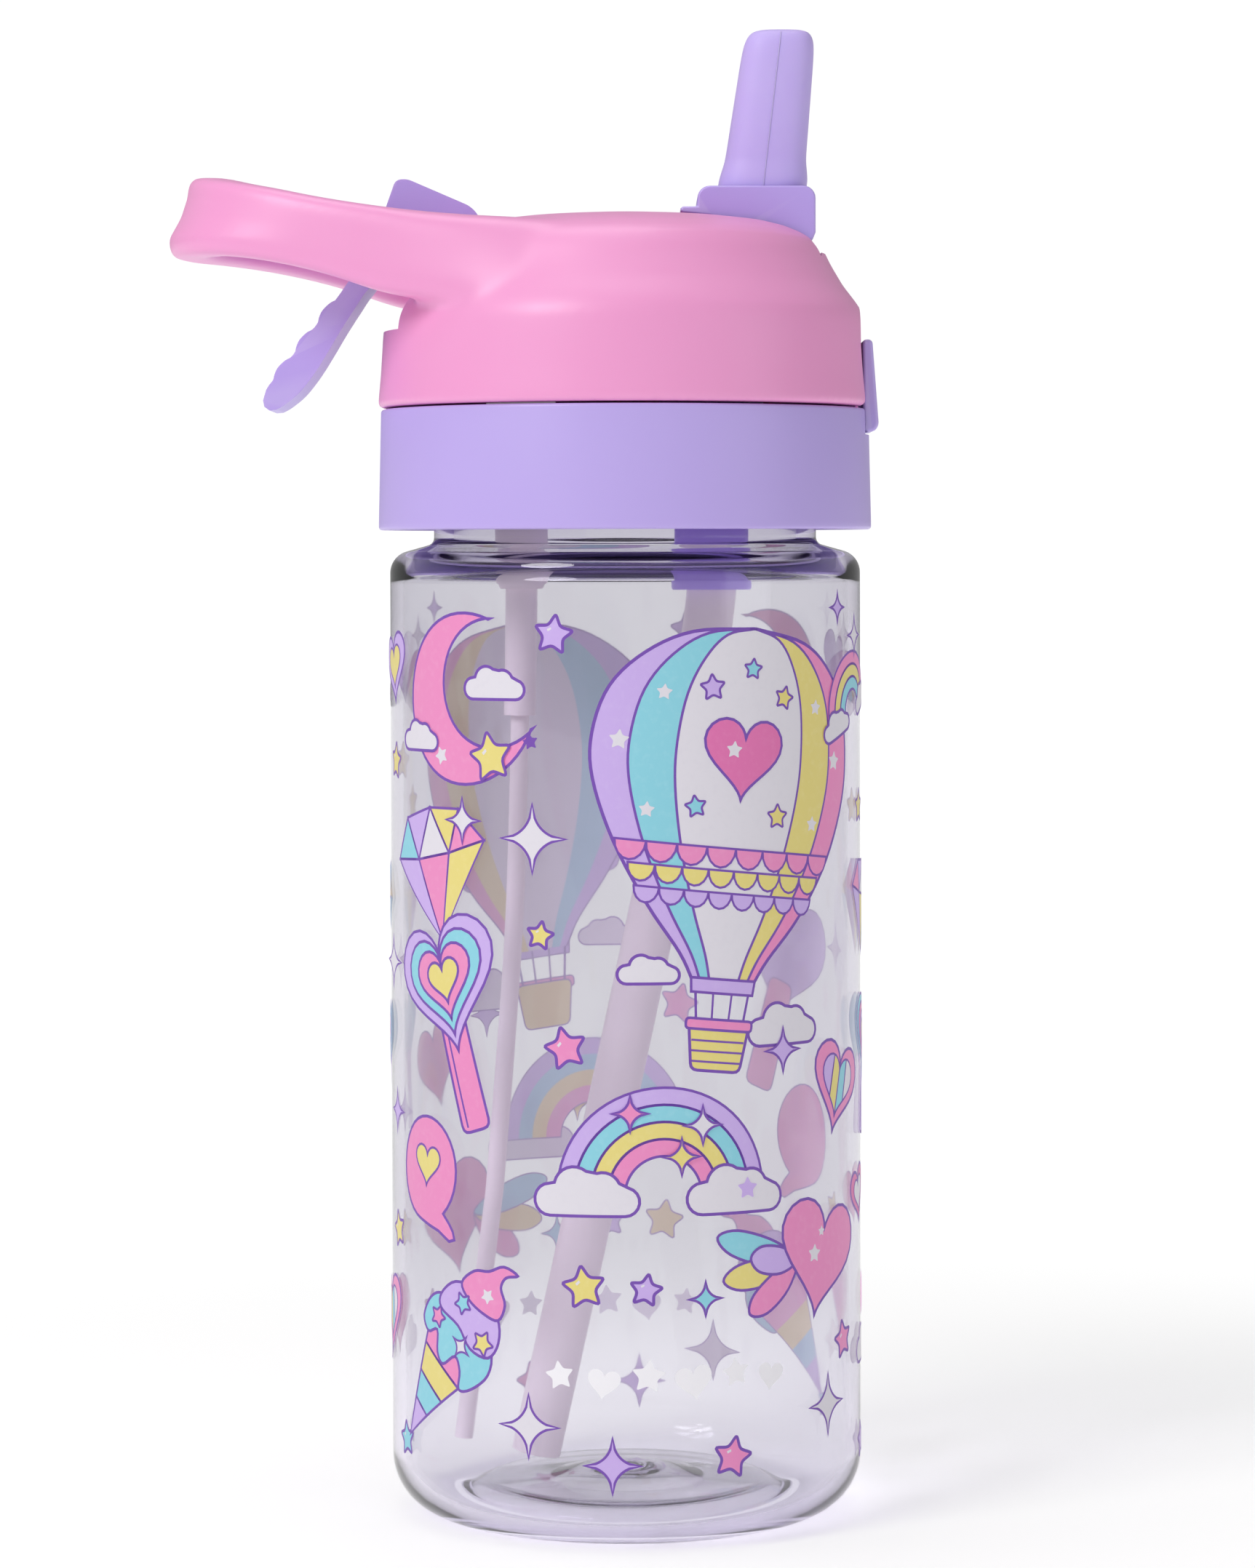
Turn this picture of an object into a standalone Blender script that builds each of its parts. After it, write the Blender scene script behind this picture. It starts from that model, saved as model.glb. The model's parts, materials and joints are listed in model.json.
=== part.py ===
"""Kids' water bottle with a flip-up spout, a carry loop and a rear thumb lever.

Metres, +Z up. The origin is the centre of the base on the bottle's axis. The spout and its latch
face +X and the carry loop points to -X. Sizes below are in millimetres.
"""
import math

import bmesh
import bpy
from mathutils import Matrix, Vector

MM = 0.001
TURN_STEPS = 48
GAP = 0.3

# Bottle
BODY_R = 38.0
BODY_WALL = 2.0
BASE_CORNER_R = 9.5
BASE_RING_INNER_R = 26.5
SHOULDER_TOP_Z = 156.5
SHOULDER_CORNER_R = 3.6
NECK_BEAD_R = 30.9
NECK_ROOT_R = 29.9
NECK_BORE_R = 27.8
NECK_RIM_Z = 173.4

# Screw thread between the neck and the cap
THREAD_PITCH = 4.0
THREAD_TURNS = 2.0
THREAD_CREST = 1.0
THREAD_ROOT = 2.0
NECK_THREAD_Z = 162.6
NECK_CREST_R = 31.4
CAP_SLEEVE_R = 32.0
CAP_CREST_R = 30.5

# Cap collar
COLLAR_TOP_R = 39.4
COLLAR_FOOT_R = 39.8
COLLAR_FOOT_Z = 158.9
DECK_TOP_Z = 178.3
DECK_UNDER_Z = 175.5

# Lid
LID_FOOT_Z = DECK_TOP_Z + GAP
CHANNEL_HALF = 9.3
CHANNEL_FLOOR_Z = 189.5
CHANNEL_FRONT_X = 31.5
FLOOR_WALL = 2.2
CHANNEL_LIP_Z = 203.2
REAR_SLOT_HALF = 15.0
REAR_SLOT_Z = 190.8
BUTTON_WINDOW_HALF = 8.6
BUTTON_WINDOW_TOP_Z = 189.9
BUTTON_RECESS_HALF = 10.3
BUTTON_RECESS_X = 37.75
BUTTON_RECESS_TOP_Z = 197.0
NECK_WINDOW_HALF = 4.4
LATCH_SPRING_RIB = (23.4, 25.0)
SPRING_POCKET_R = 3.65
PIN_R = 1.2
PIN_HOLE_R = 1.3
PIN_HALF_LENGTH = 10.6

# Pivots (x, z) and the slide of the latch
SPOUT_PIVOT = (21.0, 205.0)
LEVER_PIVOT = (-27.0, 197.0)
LEVER_HALF = 8.4
CARRIER_HALF = 8.6
BUTTON_HALF = 8.2
BUTTON_FACE_X = 38.1
BUTTON_STEM_X = 30.0

# Ports through the deck and the tubes that hang from them
STRAW_X = 14.0
VENT_X = -16.8
STRAW_R = 4.0
STRAW_WALL = 1.2
SPRING_WIRE_R = 0.35
STRAW_PORT_R = 7.2
VENT_PORT_R = 4.6

# Soft spout: its centre line leans from a foot, and its sections are rounded oblongs
SPOUT_FOOT = (22.07, 212.2)
SPOUT_LEAN = 3.18 / 27.0
SPOUT_SQUARENESS = 0.62
SPOUT_BORE_R = 2.4


def clear_scene():
    for obj in list(bpy.data.objects):
        bpy.data.objects.remove(obj, do_unlink=True)
    for group in list(bpy.data.collections):
        bpy.data.collections.remove(group)


def new_collection(name):
    group = bpy.data.collections.new(name)
    bpy.context.scene.collection.children.link(group)
    return group


def plastic(name, colour, roughness, transmission=0.0, ior=1.46, metallic=0.0):
    made = bpy.data.materials.new(name)
    made.use_nodes = True
    shader = made.node_tree.nodes["Principled BSDF"]
    shader.inputs["Base Color"].default_value = (*colour, 1.0)
    shader.inputs["Roughness"].default_value = roughness
    shader.inputs["Metallic"].default_value = metallic
    shader.inputs["IOR"].default_value = ior
    shader.inputs["Transmission Weight"].default_value = transmission
    return made


def place(obj, group, parent=None):
    """Links an object, and hangs it from a pivot without moving it."""
    group.objects.link(obj)
    if parent is not None:
        obj.parent = parent
        obj.matrix_parent_inverse = parent.matrix_world.inverted()
    return obj


def mesh_object(name, bm, group, parent=None):
    mesh = bpy.data.meshes.new(name)
    bm.to_mesh(mesh)
    bm.free()
    return place(bpy.data.objects.new(name, mesh), group, parent)


def pivot(name, x, z):
    """An empty on a hinge's axis."""
    empty = bpy.data.objects.new(name, None)
    empty.empty_display_size = 5 * MM
    empty.location = (x * MM, 0, z * MM)
    PARTS.objects.link(empty)
    bpy.context.view_layer.update()
    return empty


def turned(name, profile, group, centre_x=0.0, closed=True, steps=TURN_STEPS):
    """Turns an (r, z) outline about a vertical axis. The outline runs down its outer side."""
    mesh = bpy.data.meshes.new(name)
    points = [(r * MM, 0, z * MM) for r, z in profile]
    edges = [(i, i + 1) for i in range(len(points) - 1)]
    if closed:
        edges.append((len(points) - 1, 0))
    mesh.from_pydata(points, edges, [])
    obj = place(bpy.data.objects.new(name, mesh), group)
    obj.location.x = centre_x * MM
    screw = obj.modifiers.new("turn", "SCREW")
    screw.axis = "Z"
    screw.steps = steps
    screw.render_steps = steps
    screw.use_merge_vertices = True
    screw.merge_threshold = 0.00001
    return obj


def side_plate(name, outline, half_y, group, parent=None):
    """A flat outline in (x, z), given thickness along Y, as a welded mesh."""
    curve = bpy.data.curves.new(name, "CURVE")
    curve.dimensions = "2D"
    curve.fill_mode = "BOTH"
    curve.extrude = half_y * MM
    spline = curve.splines.new("POLY")
    spline.points.add(len(outline) - 1)
    for point, (x, z) in zip(spline.points, outline):
        point.co = (x * MM, z * MM, 0, 1)
    spline.use_cyclic_u = True
    guide = bpy.data.objects.new(name + "_outline", curve)
    bpy.context.scene.collection.objects.link(guide)
    guide.rotation_euler.x = math.radians(90)
    bpy.context.view_layer.update()
    mesh = bpy.data.meshes.new_from_object(guide.evaluated_get(bpy.context.evaluated_depsgraph_get()))
    mesh.name = name
    turn = guide.matrix_world.copy()
    bpy.data.objects.remove(guide)
    bm = bmesh.new()
    bm.from_mesh(mesh)
    bmesh.ops.remove_doubles(bm, verts=bm.verts, dist=0.00001)
    bmesh.ops.transform(bm, matrix=turn, verts=bm.verts)
    bmesh.ops.recalc_face_normals(bm, faces=bm.faces)
    bm.to_mesh(mesh)
    bm.free()
    return place(bpy.data.objects.new(name, mesh), group, parent)


def block(name, low, high, group):
    """A box between two corners."""
    bm = bmesh.new()
    bmesh.ops.create_cube(bm, size=1.0)
    for vert in bm.verts:
        vert.co = Vector(
            (low[axis] if vert.co[axis] < 0 else high[axis]) * MM for axis in range(3)
        )
    return mesh_object(name, bm, group)


def cross_rod(name, x, z, radius, low_y, high_y, group, parent=None, sides=24):
    """A round rod or hole cutter along Y."""
    bm = bmesh.new()
    bmesh.ops.create_cone(
        bm, cap_ends=True, segments=sides, radius1=radius * MM, radius2=radius * MM,
        depth=(high_y - low_y) * MM,
    )
    bmesh.ops.rotate(bm, verts=bm.verts, cent=(0, 0, 0), matrix=Matrix.Rotation(math.radians(90), 3, "X"))
    bmesh.ops.translate(bm, verts=bm.verts, vec=(x * MM, (low_y + high_y) / 2 * MM, z * MM))
    return mesh_object(name, bm, group, parent)


def upright_rod(name, x, radius, low_z, high_z, group, sides=32):
    """A round cutter along Z."""
    bm = bmesh.new()
    bmesh.ops.create_cone(
        bm, cap_ends=True, segments=sides, radius1=radius * MM, radius2=radius * MM,
        depth=(high_z - low_z) * MM,
    )
    bmesh.ops.translate(bm, verts=bm.verts, vec=(x * MM, 0, (low_z + high_z) / 2 * MM))
    return mesh_object(name, bm, group)


def combine(obj, other, operation="DIFFERENCE"):
    """Cuts or joins with another object, which stays as a hidden guide."""
    other.hide_render = True
    other.display_type = "WIRE"
    step = obj.modifiers.new(other.name, "BOOLEAN")
    step.operation = operation
    step.solver = "EXACT"
    step.object = other


def soften(obj, width, segments=2, angle=35):
    bevel = obj.modifiers.new("soft_edges", "BEVEL")
    bevel.width = width * MM
    bevel.segments = segments
    bevel.limit_method = "ANGLE"
    bevel.angle_limit = math.radians(angle)
    bevel.use_clamp_overlap = True


def skin_rings(name, rings, group, parent=None, levels=0):
    """A skin over rings of points, capped at both ends."""
    bm = bmesh.new()
    rows = [[bm.verts.new(Vector(p) * MM) for p in ring] for ring in rings]
    count = len(rows[0])
    for here, there in zip(rows, rows[1:]):
        for i in range(count):
            j = (i + 1) % count
            bm.faces.new((here[i], here[j], there[j], there[i]))
    bm.faces.new(rows[0])
    bm.faces.new(rows[-1])
    bmesh.ops.recalc_face_normals(bm, faces=bm.faces)
    obj = mesh_object(name, bm, group, parent)
    if levels:
        smooth = obj.modifiers.new("soft_form", "SUBSURF")
        smooth.levels = levels
        smooth.render_levels = levels
    return obj


def thread_ridge(name, wall_r, crest_r, start_z, group):
    """A helical ridge that fades in and out of a round wall. Its root is sunk into the wall."""
    outward = 1 if crest_r > wall_r else -1
    sunk_r = wall_r - outward * 0.6
    count = int(THREAD_TURNS * TURN_STEPS)
    fade = TURN_STEPS / 6
    rings = []
    for i in range(count + 1):
        angle = 2 * math.pi * i / TURN_STEPS
        z = start_z + THREAD_PITCH * i / TURN_STEPS
        full = min(1.0, i / fade, (count - i) / fade)
        tip_r = wall_r + outward * (0.15 + (abs(crest_r - wall_r) - 0.15) * full)
        corners = (
            (sunk_r, -THREAD_ROOT / 2), (tip_r, -THREAD_CREST / 2),
            (tip_r, THREAD_CREST / 2), (sunk_r, THREAD_ROOT / 2),
        )
        rings.append([(r * math.cos(angle), r * math.sin(angle), z + dz) for r, dz in corners])
    return skin_rings(name, rings, group)


def arc(centre_r, centre_z, radius, start, end, steps):
    """Points on an arc from one angle to another, in degrees from +r towards +z."""
    points = []
    for i in range(steps + 1):
        angle = math.radians(start + (end - start) * i / steps)
        points.append((centre_r + radius * math.cos(angle), centre_z + radius * math.sin(angle)))
    return points


def smooth_path(points, per_span=4):
    """A Catmull-Rom curve through a few points."""
    ends = [2 * Vector(points[0]) - Vector(points[1])]
    ends += [Vector(p) for p in points]
    ends.append(2 * Vector(points[-1]) - Vector(points[-2]))
    path = []
    for i in range(1, len(ends) - 2):
        a, b, c, d = ends[i - 1:i + 3]
        for k in range(per_span):
            t = k / per_span
            path.append(
                0.5 * (2 * b + (c - a) * t + (2 * a - 5 * b + 4 * c - d) * t * t
                       + (3 * b - a - 3 * c + d) * t ** 3)
            )
    path.append(ends[-2])
    return path


def wire(name, path, radius, group, parent=None, resolution=2, wall=None):
    """A round wire or an open tube along a path, as a curve. A wall makes it a hollow tube."""
    curve = bpy.data.curves.new(name, "CURVE")
    curve.dimensions = "3D"
    curve.bevel_depth = radius * MM
    curve.bevel_resolution = resolution
    curve.use_fill_caps = wall is None
    spline = curve.splines.new("POLY")
    spline.points.add(len(path) - 1)
    for point, co in zip(spline.points, path):
        point.co = (*(Vector(co) * MM), 1)
    obj = place(bpy.data.objects.new(name, curve), group, parent)
    if wall is not None:
        thick = obj.modifiers.new("wall", "SOLIDIFY")
        thick.thickness = wall * MM
        thick.offset = -1
    return obj


def coil(name, centre, axis, radius, turns, pitch, group, parent=None, steps=14):
    """A spring's coil along X or Y."""
    path = []
    for i in range(int(turns * steps) + 1):
        angle = 2 * math.pi * i / steps
        along = (i / steps - turns / 2) * pitch
        if axis == "X":
            offset = (along, radius * math.cos(angle), radius * math.sin(angle))
        else:
            offset = (radius * math.cos(angle), along, radius * math.sin(angle))
        path.append(Vector(centre) + Vector(offset))
    return wire(name, path, SPRING_WIRE_R, group, parent)


def rounded_ring(centre, across, up, half_across, half_up, corner):
    """Eight points of a rounded oblong section."""
    points = []
    for u, v in (
        (-1, -1 + corner), (-1, 1 - corner), (-1 + corner, 1), (1 - corner, 1),
        (1, 1 - corner), (1, -1 + corner), (1 - corner, -1), (-1 + corner, -1),
    ):
        points.append(Vector(centre) + Vector(across) * u * half_across + Vector(up) * v * half_up)
    return points


def make_bottle():
    inner_r = BODY_R - BODY_WALL
    inside = [(0, 7.6), (6, 7.2), (10.7, 5.9), (22, 5.0), (26, 3.0)]
    inside += arc(28.5, 10.0, inner_r - 28.5, -90, 0, 5)
    inside += [(inner_r, 149.0), (35.3, 151.5), (33.4, 153.3), (30.4, 154.0), (28.4, 155.0)]
    inside += [(NECK_BORE_R, 156.6), (NECK_BORE_R, NECK_RIM_Z - 0.5), (28.3, NECK_RIM_Z)]
    outside = [(29.5, NECK_RIM_Z), (NECK_ROOT_R, NECK_RIM_Z - 0.4), (NECK_ROOT_R, 160.4)]
    outside += [(NECK_BEAD_R - 0.5, 159.5), (NECK_BEAD_R, 159.0), (NECK_BEAD_R, SHOULDER_TOP_Z + 1.0)]
    outside += [(NECK_BEAD_R + 0.4, SHOULDER_TOP_Z + 0.3), (NECK_BEAD_R + 1.2, SHOULDER_TOP_Z)]
    outside += arc(
        BODY_R - SHOULDER_CORNER_R, SHOULDER_TOP_Z - SHOULDER_CORNER_R - 0.9, SHOULDER_CORNER_R, 77, 0, 5
    )
    outside += arc(BODY_R - BASE_CORNER_R, BASE_CORNER_R, BASE_CORNER_R, 0, -90, 8)
    outside += [(BASE_RING_INNER_R, 0), (25.0, 0.5), (22.4, 2.3), (11.4, 3.1), (6, 4.7), (0, 5.3)]
    body = turned("bottle_body", inside + outside, PARTS, closed=False)
    ridge = thread_ridge("neck_thread", NECK_ROOT_R, NECK_CREST_R, NECK_THREAD_Z, CUTTERS)
    combine(body, ridge, "UNION")
    return body


def make_cap_collar():
    profile = [
        (0, DECK_TOP_Z), (COLLAR_TOP_R - 0.5, DECK_TOP_Z), (COLLAR_TOP_R, DECK_TOP_Z - 0.5),
        (COLLAR_FOOT_R, COLLAR_FOOT_Z + 1.0), (COLLAR_FOOT_R - 0.3, COLLAR_FOOT_Z),
        (COLLAR_FOOT_R - 1.6, COLLAR_FOOT_Z), (37.8, COLLAR_FOOT_Z + 0.6), (37.6, DECK_UNDER_Z),
        (34.4, DECK_UNDER_Z), (34.2, 161.4), (33.6, 160.4), (CAP_SLEEVE_R + 0.5, 160.4),
        (CAP_SLEEVE_R, 161.2), (CAP_SLEEVE_R, DECK_UNDER_Z), (0, DECK_UNDER_Z),
    ]
    collar = turned("cap_collar", profile, PARTS, closed=False)
    ridge = thread_ridge(
        "cap_thread", CAP_SLEEVE_R, CAP_CREST_R, NECK_THREAD_Z + THREAD_PITCH / 2, CUTTERS
    )
    combine(collar, ridge, "UNION")
    combine(collar, upright_rod("straw_port", STRAW_X, STRAW_PORT_R, 170, 185, CUTTERS))
    combine(collar, upright_rod("vent_port", VENT_X, VENT_PORT_R, 170, 185, CUTTERS))
    notch = side_plate(
        "latch_notch",
        [(35.2, 174.1), (42, 174.1), (42, 182), (35.2, 182)], BUTTON_HALF + 0.5, CUTTERS,
    )
    combine(collar, notch)
    return collar


def carry_loop():
    """The loop's soft section swept round a U: x, y, top z, foot z, half thickness, lean inward."""
    near_arm = [
        (3, -20.5, 206.6, 195.4, 4.8, 4.6), (-6, -25.6, 207.2, 194.9, 5.0, 4.2),
        (-16, -25.0, 207.9, 194.3, 5.0, 2.8), (-26, -23.4, 208.5, 194.3, 4.9, 1.4),
        (-36.8, -21.4, 209.6, 196.0, 4.6, 0.6), (-46.8, -19.5, 211.2, 199.2, 4.4, 0.4),
        (-55.6, -17.3, 213.0, 201.3, 4.2, 0.7), (-63.1, -13.4, 214.4, 202.5, 4.0, 1.2),
        (-68.3, -7.1, 215.6, 202.7, 3.8, 1.5),
    ]
    tip = [(-70.3, 0.0, 216.2, 202.8, 3.7, 1.5)]
    stations = near_arm + tip + [(x, -y, *rest) for x, y, *rest in reversed(near_arm)]
    rings = []
    for i, (x, y, top, foot, half, lean) in enumerate(stations):
        before = stations[max(i - 1, 0)]
        after = stations[min(i + 1, len(stations) - 1)]
        along = Vector((after[0] - before[0], after[1] - before[1], 0)).normalized()
        across = Vector((along.y, -along.x, 0))
        middle = (x, y, (top + foot) / 2)
        upward = across * lean + Vector((0, 0, (top - foot) / 2))
        rings.append(rounded_ring(middle, across, upward.normalized(), half, upward.length, 0.55))
    return skin_rings("carry_loop", rings, CUTTERS, levels=1)


def loop_gusset():
    """Carries the drum's wall up under the roots of the loop, outside the rear slot."""
    section = [(33.0, 197.4), (37.2, 197.4), (38.5, 194.0), (38.6, 189.0), (33.0, 189.0)]
    ring = turned("loop_gusset", section, CUTTERS, steps=56)
    middle_half = REAR_SLOT_HALF - 1
    combine(ring, block("gusset_side", (-20.0, -45, 180), (45, 45, 205), CUTTERS))
    combine(ring, block("gusset_middle", (-45, -middle_half, 180), (45, middle_half, 205), CUTTERS))
    return ring


def make_lid():
    dome = [
        (0, 209.9), (10, 209.7), (20, 208.7), (27, 207.2), (30.4, 206.0), (32.0, 204.5),
        (33.2, 201.9), (35.2, 198.2), (37.1, 195.1), (38.5, 193.2), (39.0, 190.8), (39.9, LID_FOOT_Z + 0.4),
        (39.6, LID_FOOT_Z), (0, LID_FOOT_Z),
    ]
    lid = turned("lid_shell", dome, PARTS, closed=False, steps=56)
    hollow = [
        (0, 207.4), (20, 206.2), (28.5, 204.0), (31.2, 200.6), (33.6, 196.0), (35.6, 192.0),
        (36.3, 189.0), (36.5, LID_FOOT_Z - 4), (0, LID_FOOT_Z - 4),
    ]
    cavity = turned("lid_cavity", hollow, CUTTERS, closed=False, steps=56)
    channel_box = block(
        "channel_box",
        (-33.8, -CHANNEL_HALF - FLOOR_WALL, CHANNEL_FLOOR_Z - FLOOR_WALL),
        (CHANNEL_FRONT_X + FLOOR_WALL, CHANNEL_HALF + FLOOR_WALL, 230), CUTTERS,
    )
    combine(cavity, channel_box)
    rib_back_x, rib_front_x = LATCH_SPRING_RIB
    combine(cavity, block("spring_rib", (rib_back_x, -7, 180.4), (rib_front_x, 7, 190), CUTTERS))
    combine(lid, carry_loop(), "UNION")
    combine(lid, loop_gusset(), "UNION")
    combine(lid, cavity)
    combine(lid, block(
        "channel", (-37, -CHANNEL_HALF, CHANNEL_FLOOR_Z), (CHANNEL_FRONT_X, CHANNEL_HALF, 240), CUTTERS,
    ))
    combine(lid, block(
        "channel_lip", (CHANNEL_FRONT_X - 1.5, -CHANNEL_HALF, CHANNEL_LIP_Z),
        (34.0, CHANNEL_HALF, 230), CUTTERS,
    ))
    combine(lid, block(
        "rear_slot", (-50, -REAR_SLOT_HALF, REAR_SLOT_Z), (-33.0, REAR_SLOT_HALF, 230), CUTTERS,
    ))
    combine(lid, block(
        "button_window", (33.9, -BUTTON_WINDOW_HALF, 170),
        (45, BUTTON_WINDOW_HALF, BUTTON_WINDOW_TOP_Z), CUTTERS,
    ))
    combine(lid, block(
        "button_recess", (BUTTON_RECESS_X, -BUTTON_RECESS_HALF, 170),
        (45, BUTTON_RECESS_HALF, BUTTON_RECESS_TOP_Z), CUTTERS,
    ))
    combine(lid, block(
        "neck_window", (11.4, -NECK_WINDOW_HALF, 184.6), (27.4, NECK_WINDOW_HALF, 192), CUTTERS,
    ))
    for name, (x, z) in (("spout_pin_hole", SPOUT_PIVOT), ("lever_pin_hole", LEVER_PIVOT)):
        reach = PIN_HALF_LENGTH + 0.2
        combine(lid, cross_rod(name, x, z, PIN_HOLE_R, -reach, reach, CUTTERS))
    return lid


def round_corners(outline, radius, steps=3):
    """Rounds each corner of an (x, z) outline."""
    rounded = []
    count = len(outline)
    for i, corner in enumerate(outline):
        here = Vector(corner)
        before = Vector(outline[i - 1])
        after = Vector(outline[(i + 1) % count])
        back = before - here
        ahead = after - here
        reach = min(radius, back.length * 0.45, ahead.length * 0.45)
        start = here + back.normalized() * reach
        end = here + ahead.normalized() * reach
        for k in range(steps + 1):
            t = k / steps
            rounded.append((1 - t) ** 2 * start + 2 * t * (1 - t) * here + t * t * end)
    return [(p.x, p.y) for p in rounded]


def make_carrier(group, parent):
    px, pz = SPOUT_PIVOT
    head = round_corners(
        [(-9.2, 4.8), (-9.2, 8.9), (9.6, 8.9), (9.6, 0.9), (6.1, -1.4)], 1.2
    )
    drum = arc(0, 0, 6.2, -13, -175, 12)
    outline = [(px + x, pz + z) for x, z in head + drum]
    outline += [(px - 7.0, pz + 4.0), (px - 12.0, pz + 4.6), (px - 12.0, pz + 5.6)]
    carrier = side_plate("spout_carrier", outline, CARRIER_HALF, group, parent)
    combine(carrier, cross_rod("carrier_bore", px, pz, PIN_HOLE_R, -12, 12, CUTTERS, parent))
    combine(carrier, cross_rod("carrier_spring_pocket", px, pz, SPRING_POCKET_R, -12, -6.2, CUTTERS, parent))
    combine(carrier, skin_rings("spout_socket", spout_rings(0.3, socket=True), CUTTERS, parent))
    return carrier


def spout_rings(grow, socket=False):
    """Oblong sections up the leaning spout: z, half width along X, half width along Y."""
    if socket:
        levels = [(208.2, 6.6, 6.4), (213.2, 7.3, 6.9), (222, 7.3, 6.9)]
    else:
        levels = [
            (208.6, 6.6, 6.4), (213.4, 7.3, 6.9), (215.2, 7.3, 6.9), (217.4, 6.75, 6.5),
            (220.0, 6.5, 6.3), (230.0, 6.05, 5.9), (236.6, 5.8, 5.6), (238.5, 5.2, 5.0),
            (239.3, 3.9, 3.8),
        ]
    rings = []
    for z, half_x, half_y in levels:
        x = SPOUT_FOOT[0] + (z - SPOUT_FOOT[1]) * SPOUT_LEAN
        ring = []
        for k in range(20):
            angle = 2 * math.pi * k / 20
            c, s = math.cos(angle), math.sin(angle)
            u = math.copysign(abs(c) ** SPOUT_SQUARENESS, c)
            v = math.copysign(abs(s) ** SPOUT_SQUARENESS, s)
            ring.append((x + (half_x + grow) * u, (half_y + grow) * v, z))
        rings.append(ring)
    return rings


def make_spout(group, parent):
    spout = skin_rings("spout", spout_rings(0.0), group, parent)
    bore = sloping_rod("spout_bore", [(20.6, 0, 200), (25.9, 0, 245)], SPOUT_BORE_R, parent)
    combine(spout, bore)
    return spout


def sloping_rod(name, ends, radius, parent):
    """A straight round cutter between two points."""
    start, end = Vector(ends[0]), Vector(ends[1])
    bm = bmesh.new()
    bmesh.ops.create_cone(
        bm, cap_ends=True, segments=20, radius1=radius * MM, radius2=radius * MM,
        depth=(end - start).length * MM,
    )
    turn = (end - start).to_track_quat("Z", "Y").to_matrix()
    bmesh.ops.rotate(bm, verts=bm.verts, cent=(0, 0, 0), matrix=turn)
    bmesh.ops.translate(bm, verts=bm.verts, vec=(start + end) / 2 * MM)
    return mesh_object(name, bm, CUTTERS, parent)


def make_lever(group, parent):
    px, pz = LEVER_PIVOT
    block_head = [(-36.9, 214.2), (-35.4, 215.1), (-25.0, 211.2), (-23.4, 209.4), (-22.4, 203.0)]
    hub = arc(px, pz, 5.4, 20, -140, 10)
    under = [(-33.4, 197.0), (-38.6, 199.4), (-41.2, 197.2), (-43.2, 194.3), (-45.4, 190.9), (-47.3, 187.7),
             (-49.5, 184.2), (-52.0, 181.0), (-54.4, 179.0), (-56.2, 178.1), (-57.3, 178.4), (-57.9, 179.6)]
    upper = [(-57.0, 182.0), (-38.5, 209.5)]
    ridges = [(-54.7, 184.0), (-51.1, 188.5), (-47.4, 193.2)]
    face = [upper[0]]
    for x, z in ridges:
        for angle in (225, 185, 135, 85, 45):
            turn = math.radians(angle)
            face.append((x + 1.5 * math.cos(turn), z + 1.5 * math.sin(turn)))
    face += [(-44.4, 198.0), (-41.0, 204.0), upper[1]]
    lever = side_plate("rear_lever", block_head + hub + under + face, LEVER_HALF, group, parent)
    combine(lever, cross_rod("lever_bore", px, pz, PIN_HOLE_R, -12, 12, CUTTERS, parent))
    combine(lever, cross_rod("lever_spring_pocket", px, pz, SPRING_POCKET_R, -12, -6.2, CUTTERS, parent))
    return lever


def make_latch(group):
    face = round_corners(
        [(BUTTON_FACE_X, 189.3), (39.9, 189.3), (40.75, 175.6), (40.2, 174.6), (BUTTON_FACE_X, 174.6)], 1.4
    )
    button = side_plate("latch_button", face, BUTTON_HALF, group)
    soften(button, 0.5)
    stem = block("latch_stem", (BUTTON_STEM_X, -4, 181), (BUTTON_FACE_X + 1, 4, 186), CUTTERS)
    combine(button, stem, "UNION")
    return button


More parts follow.
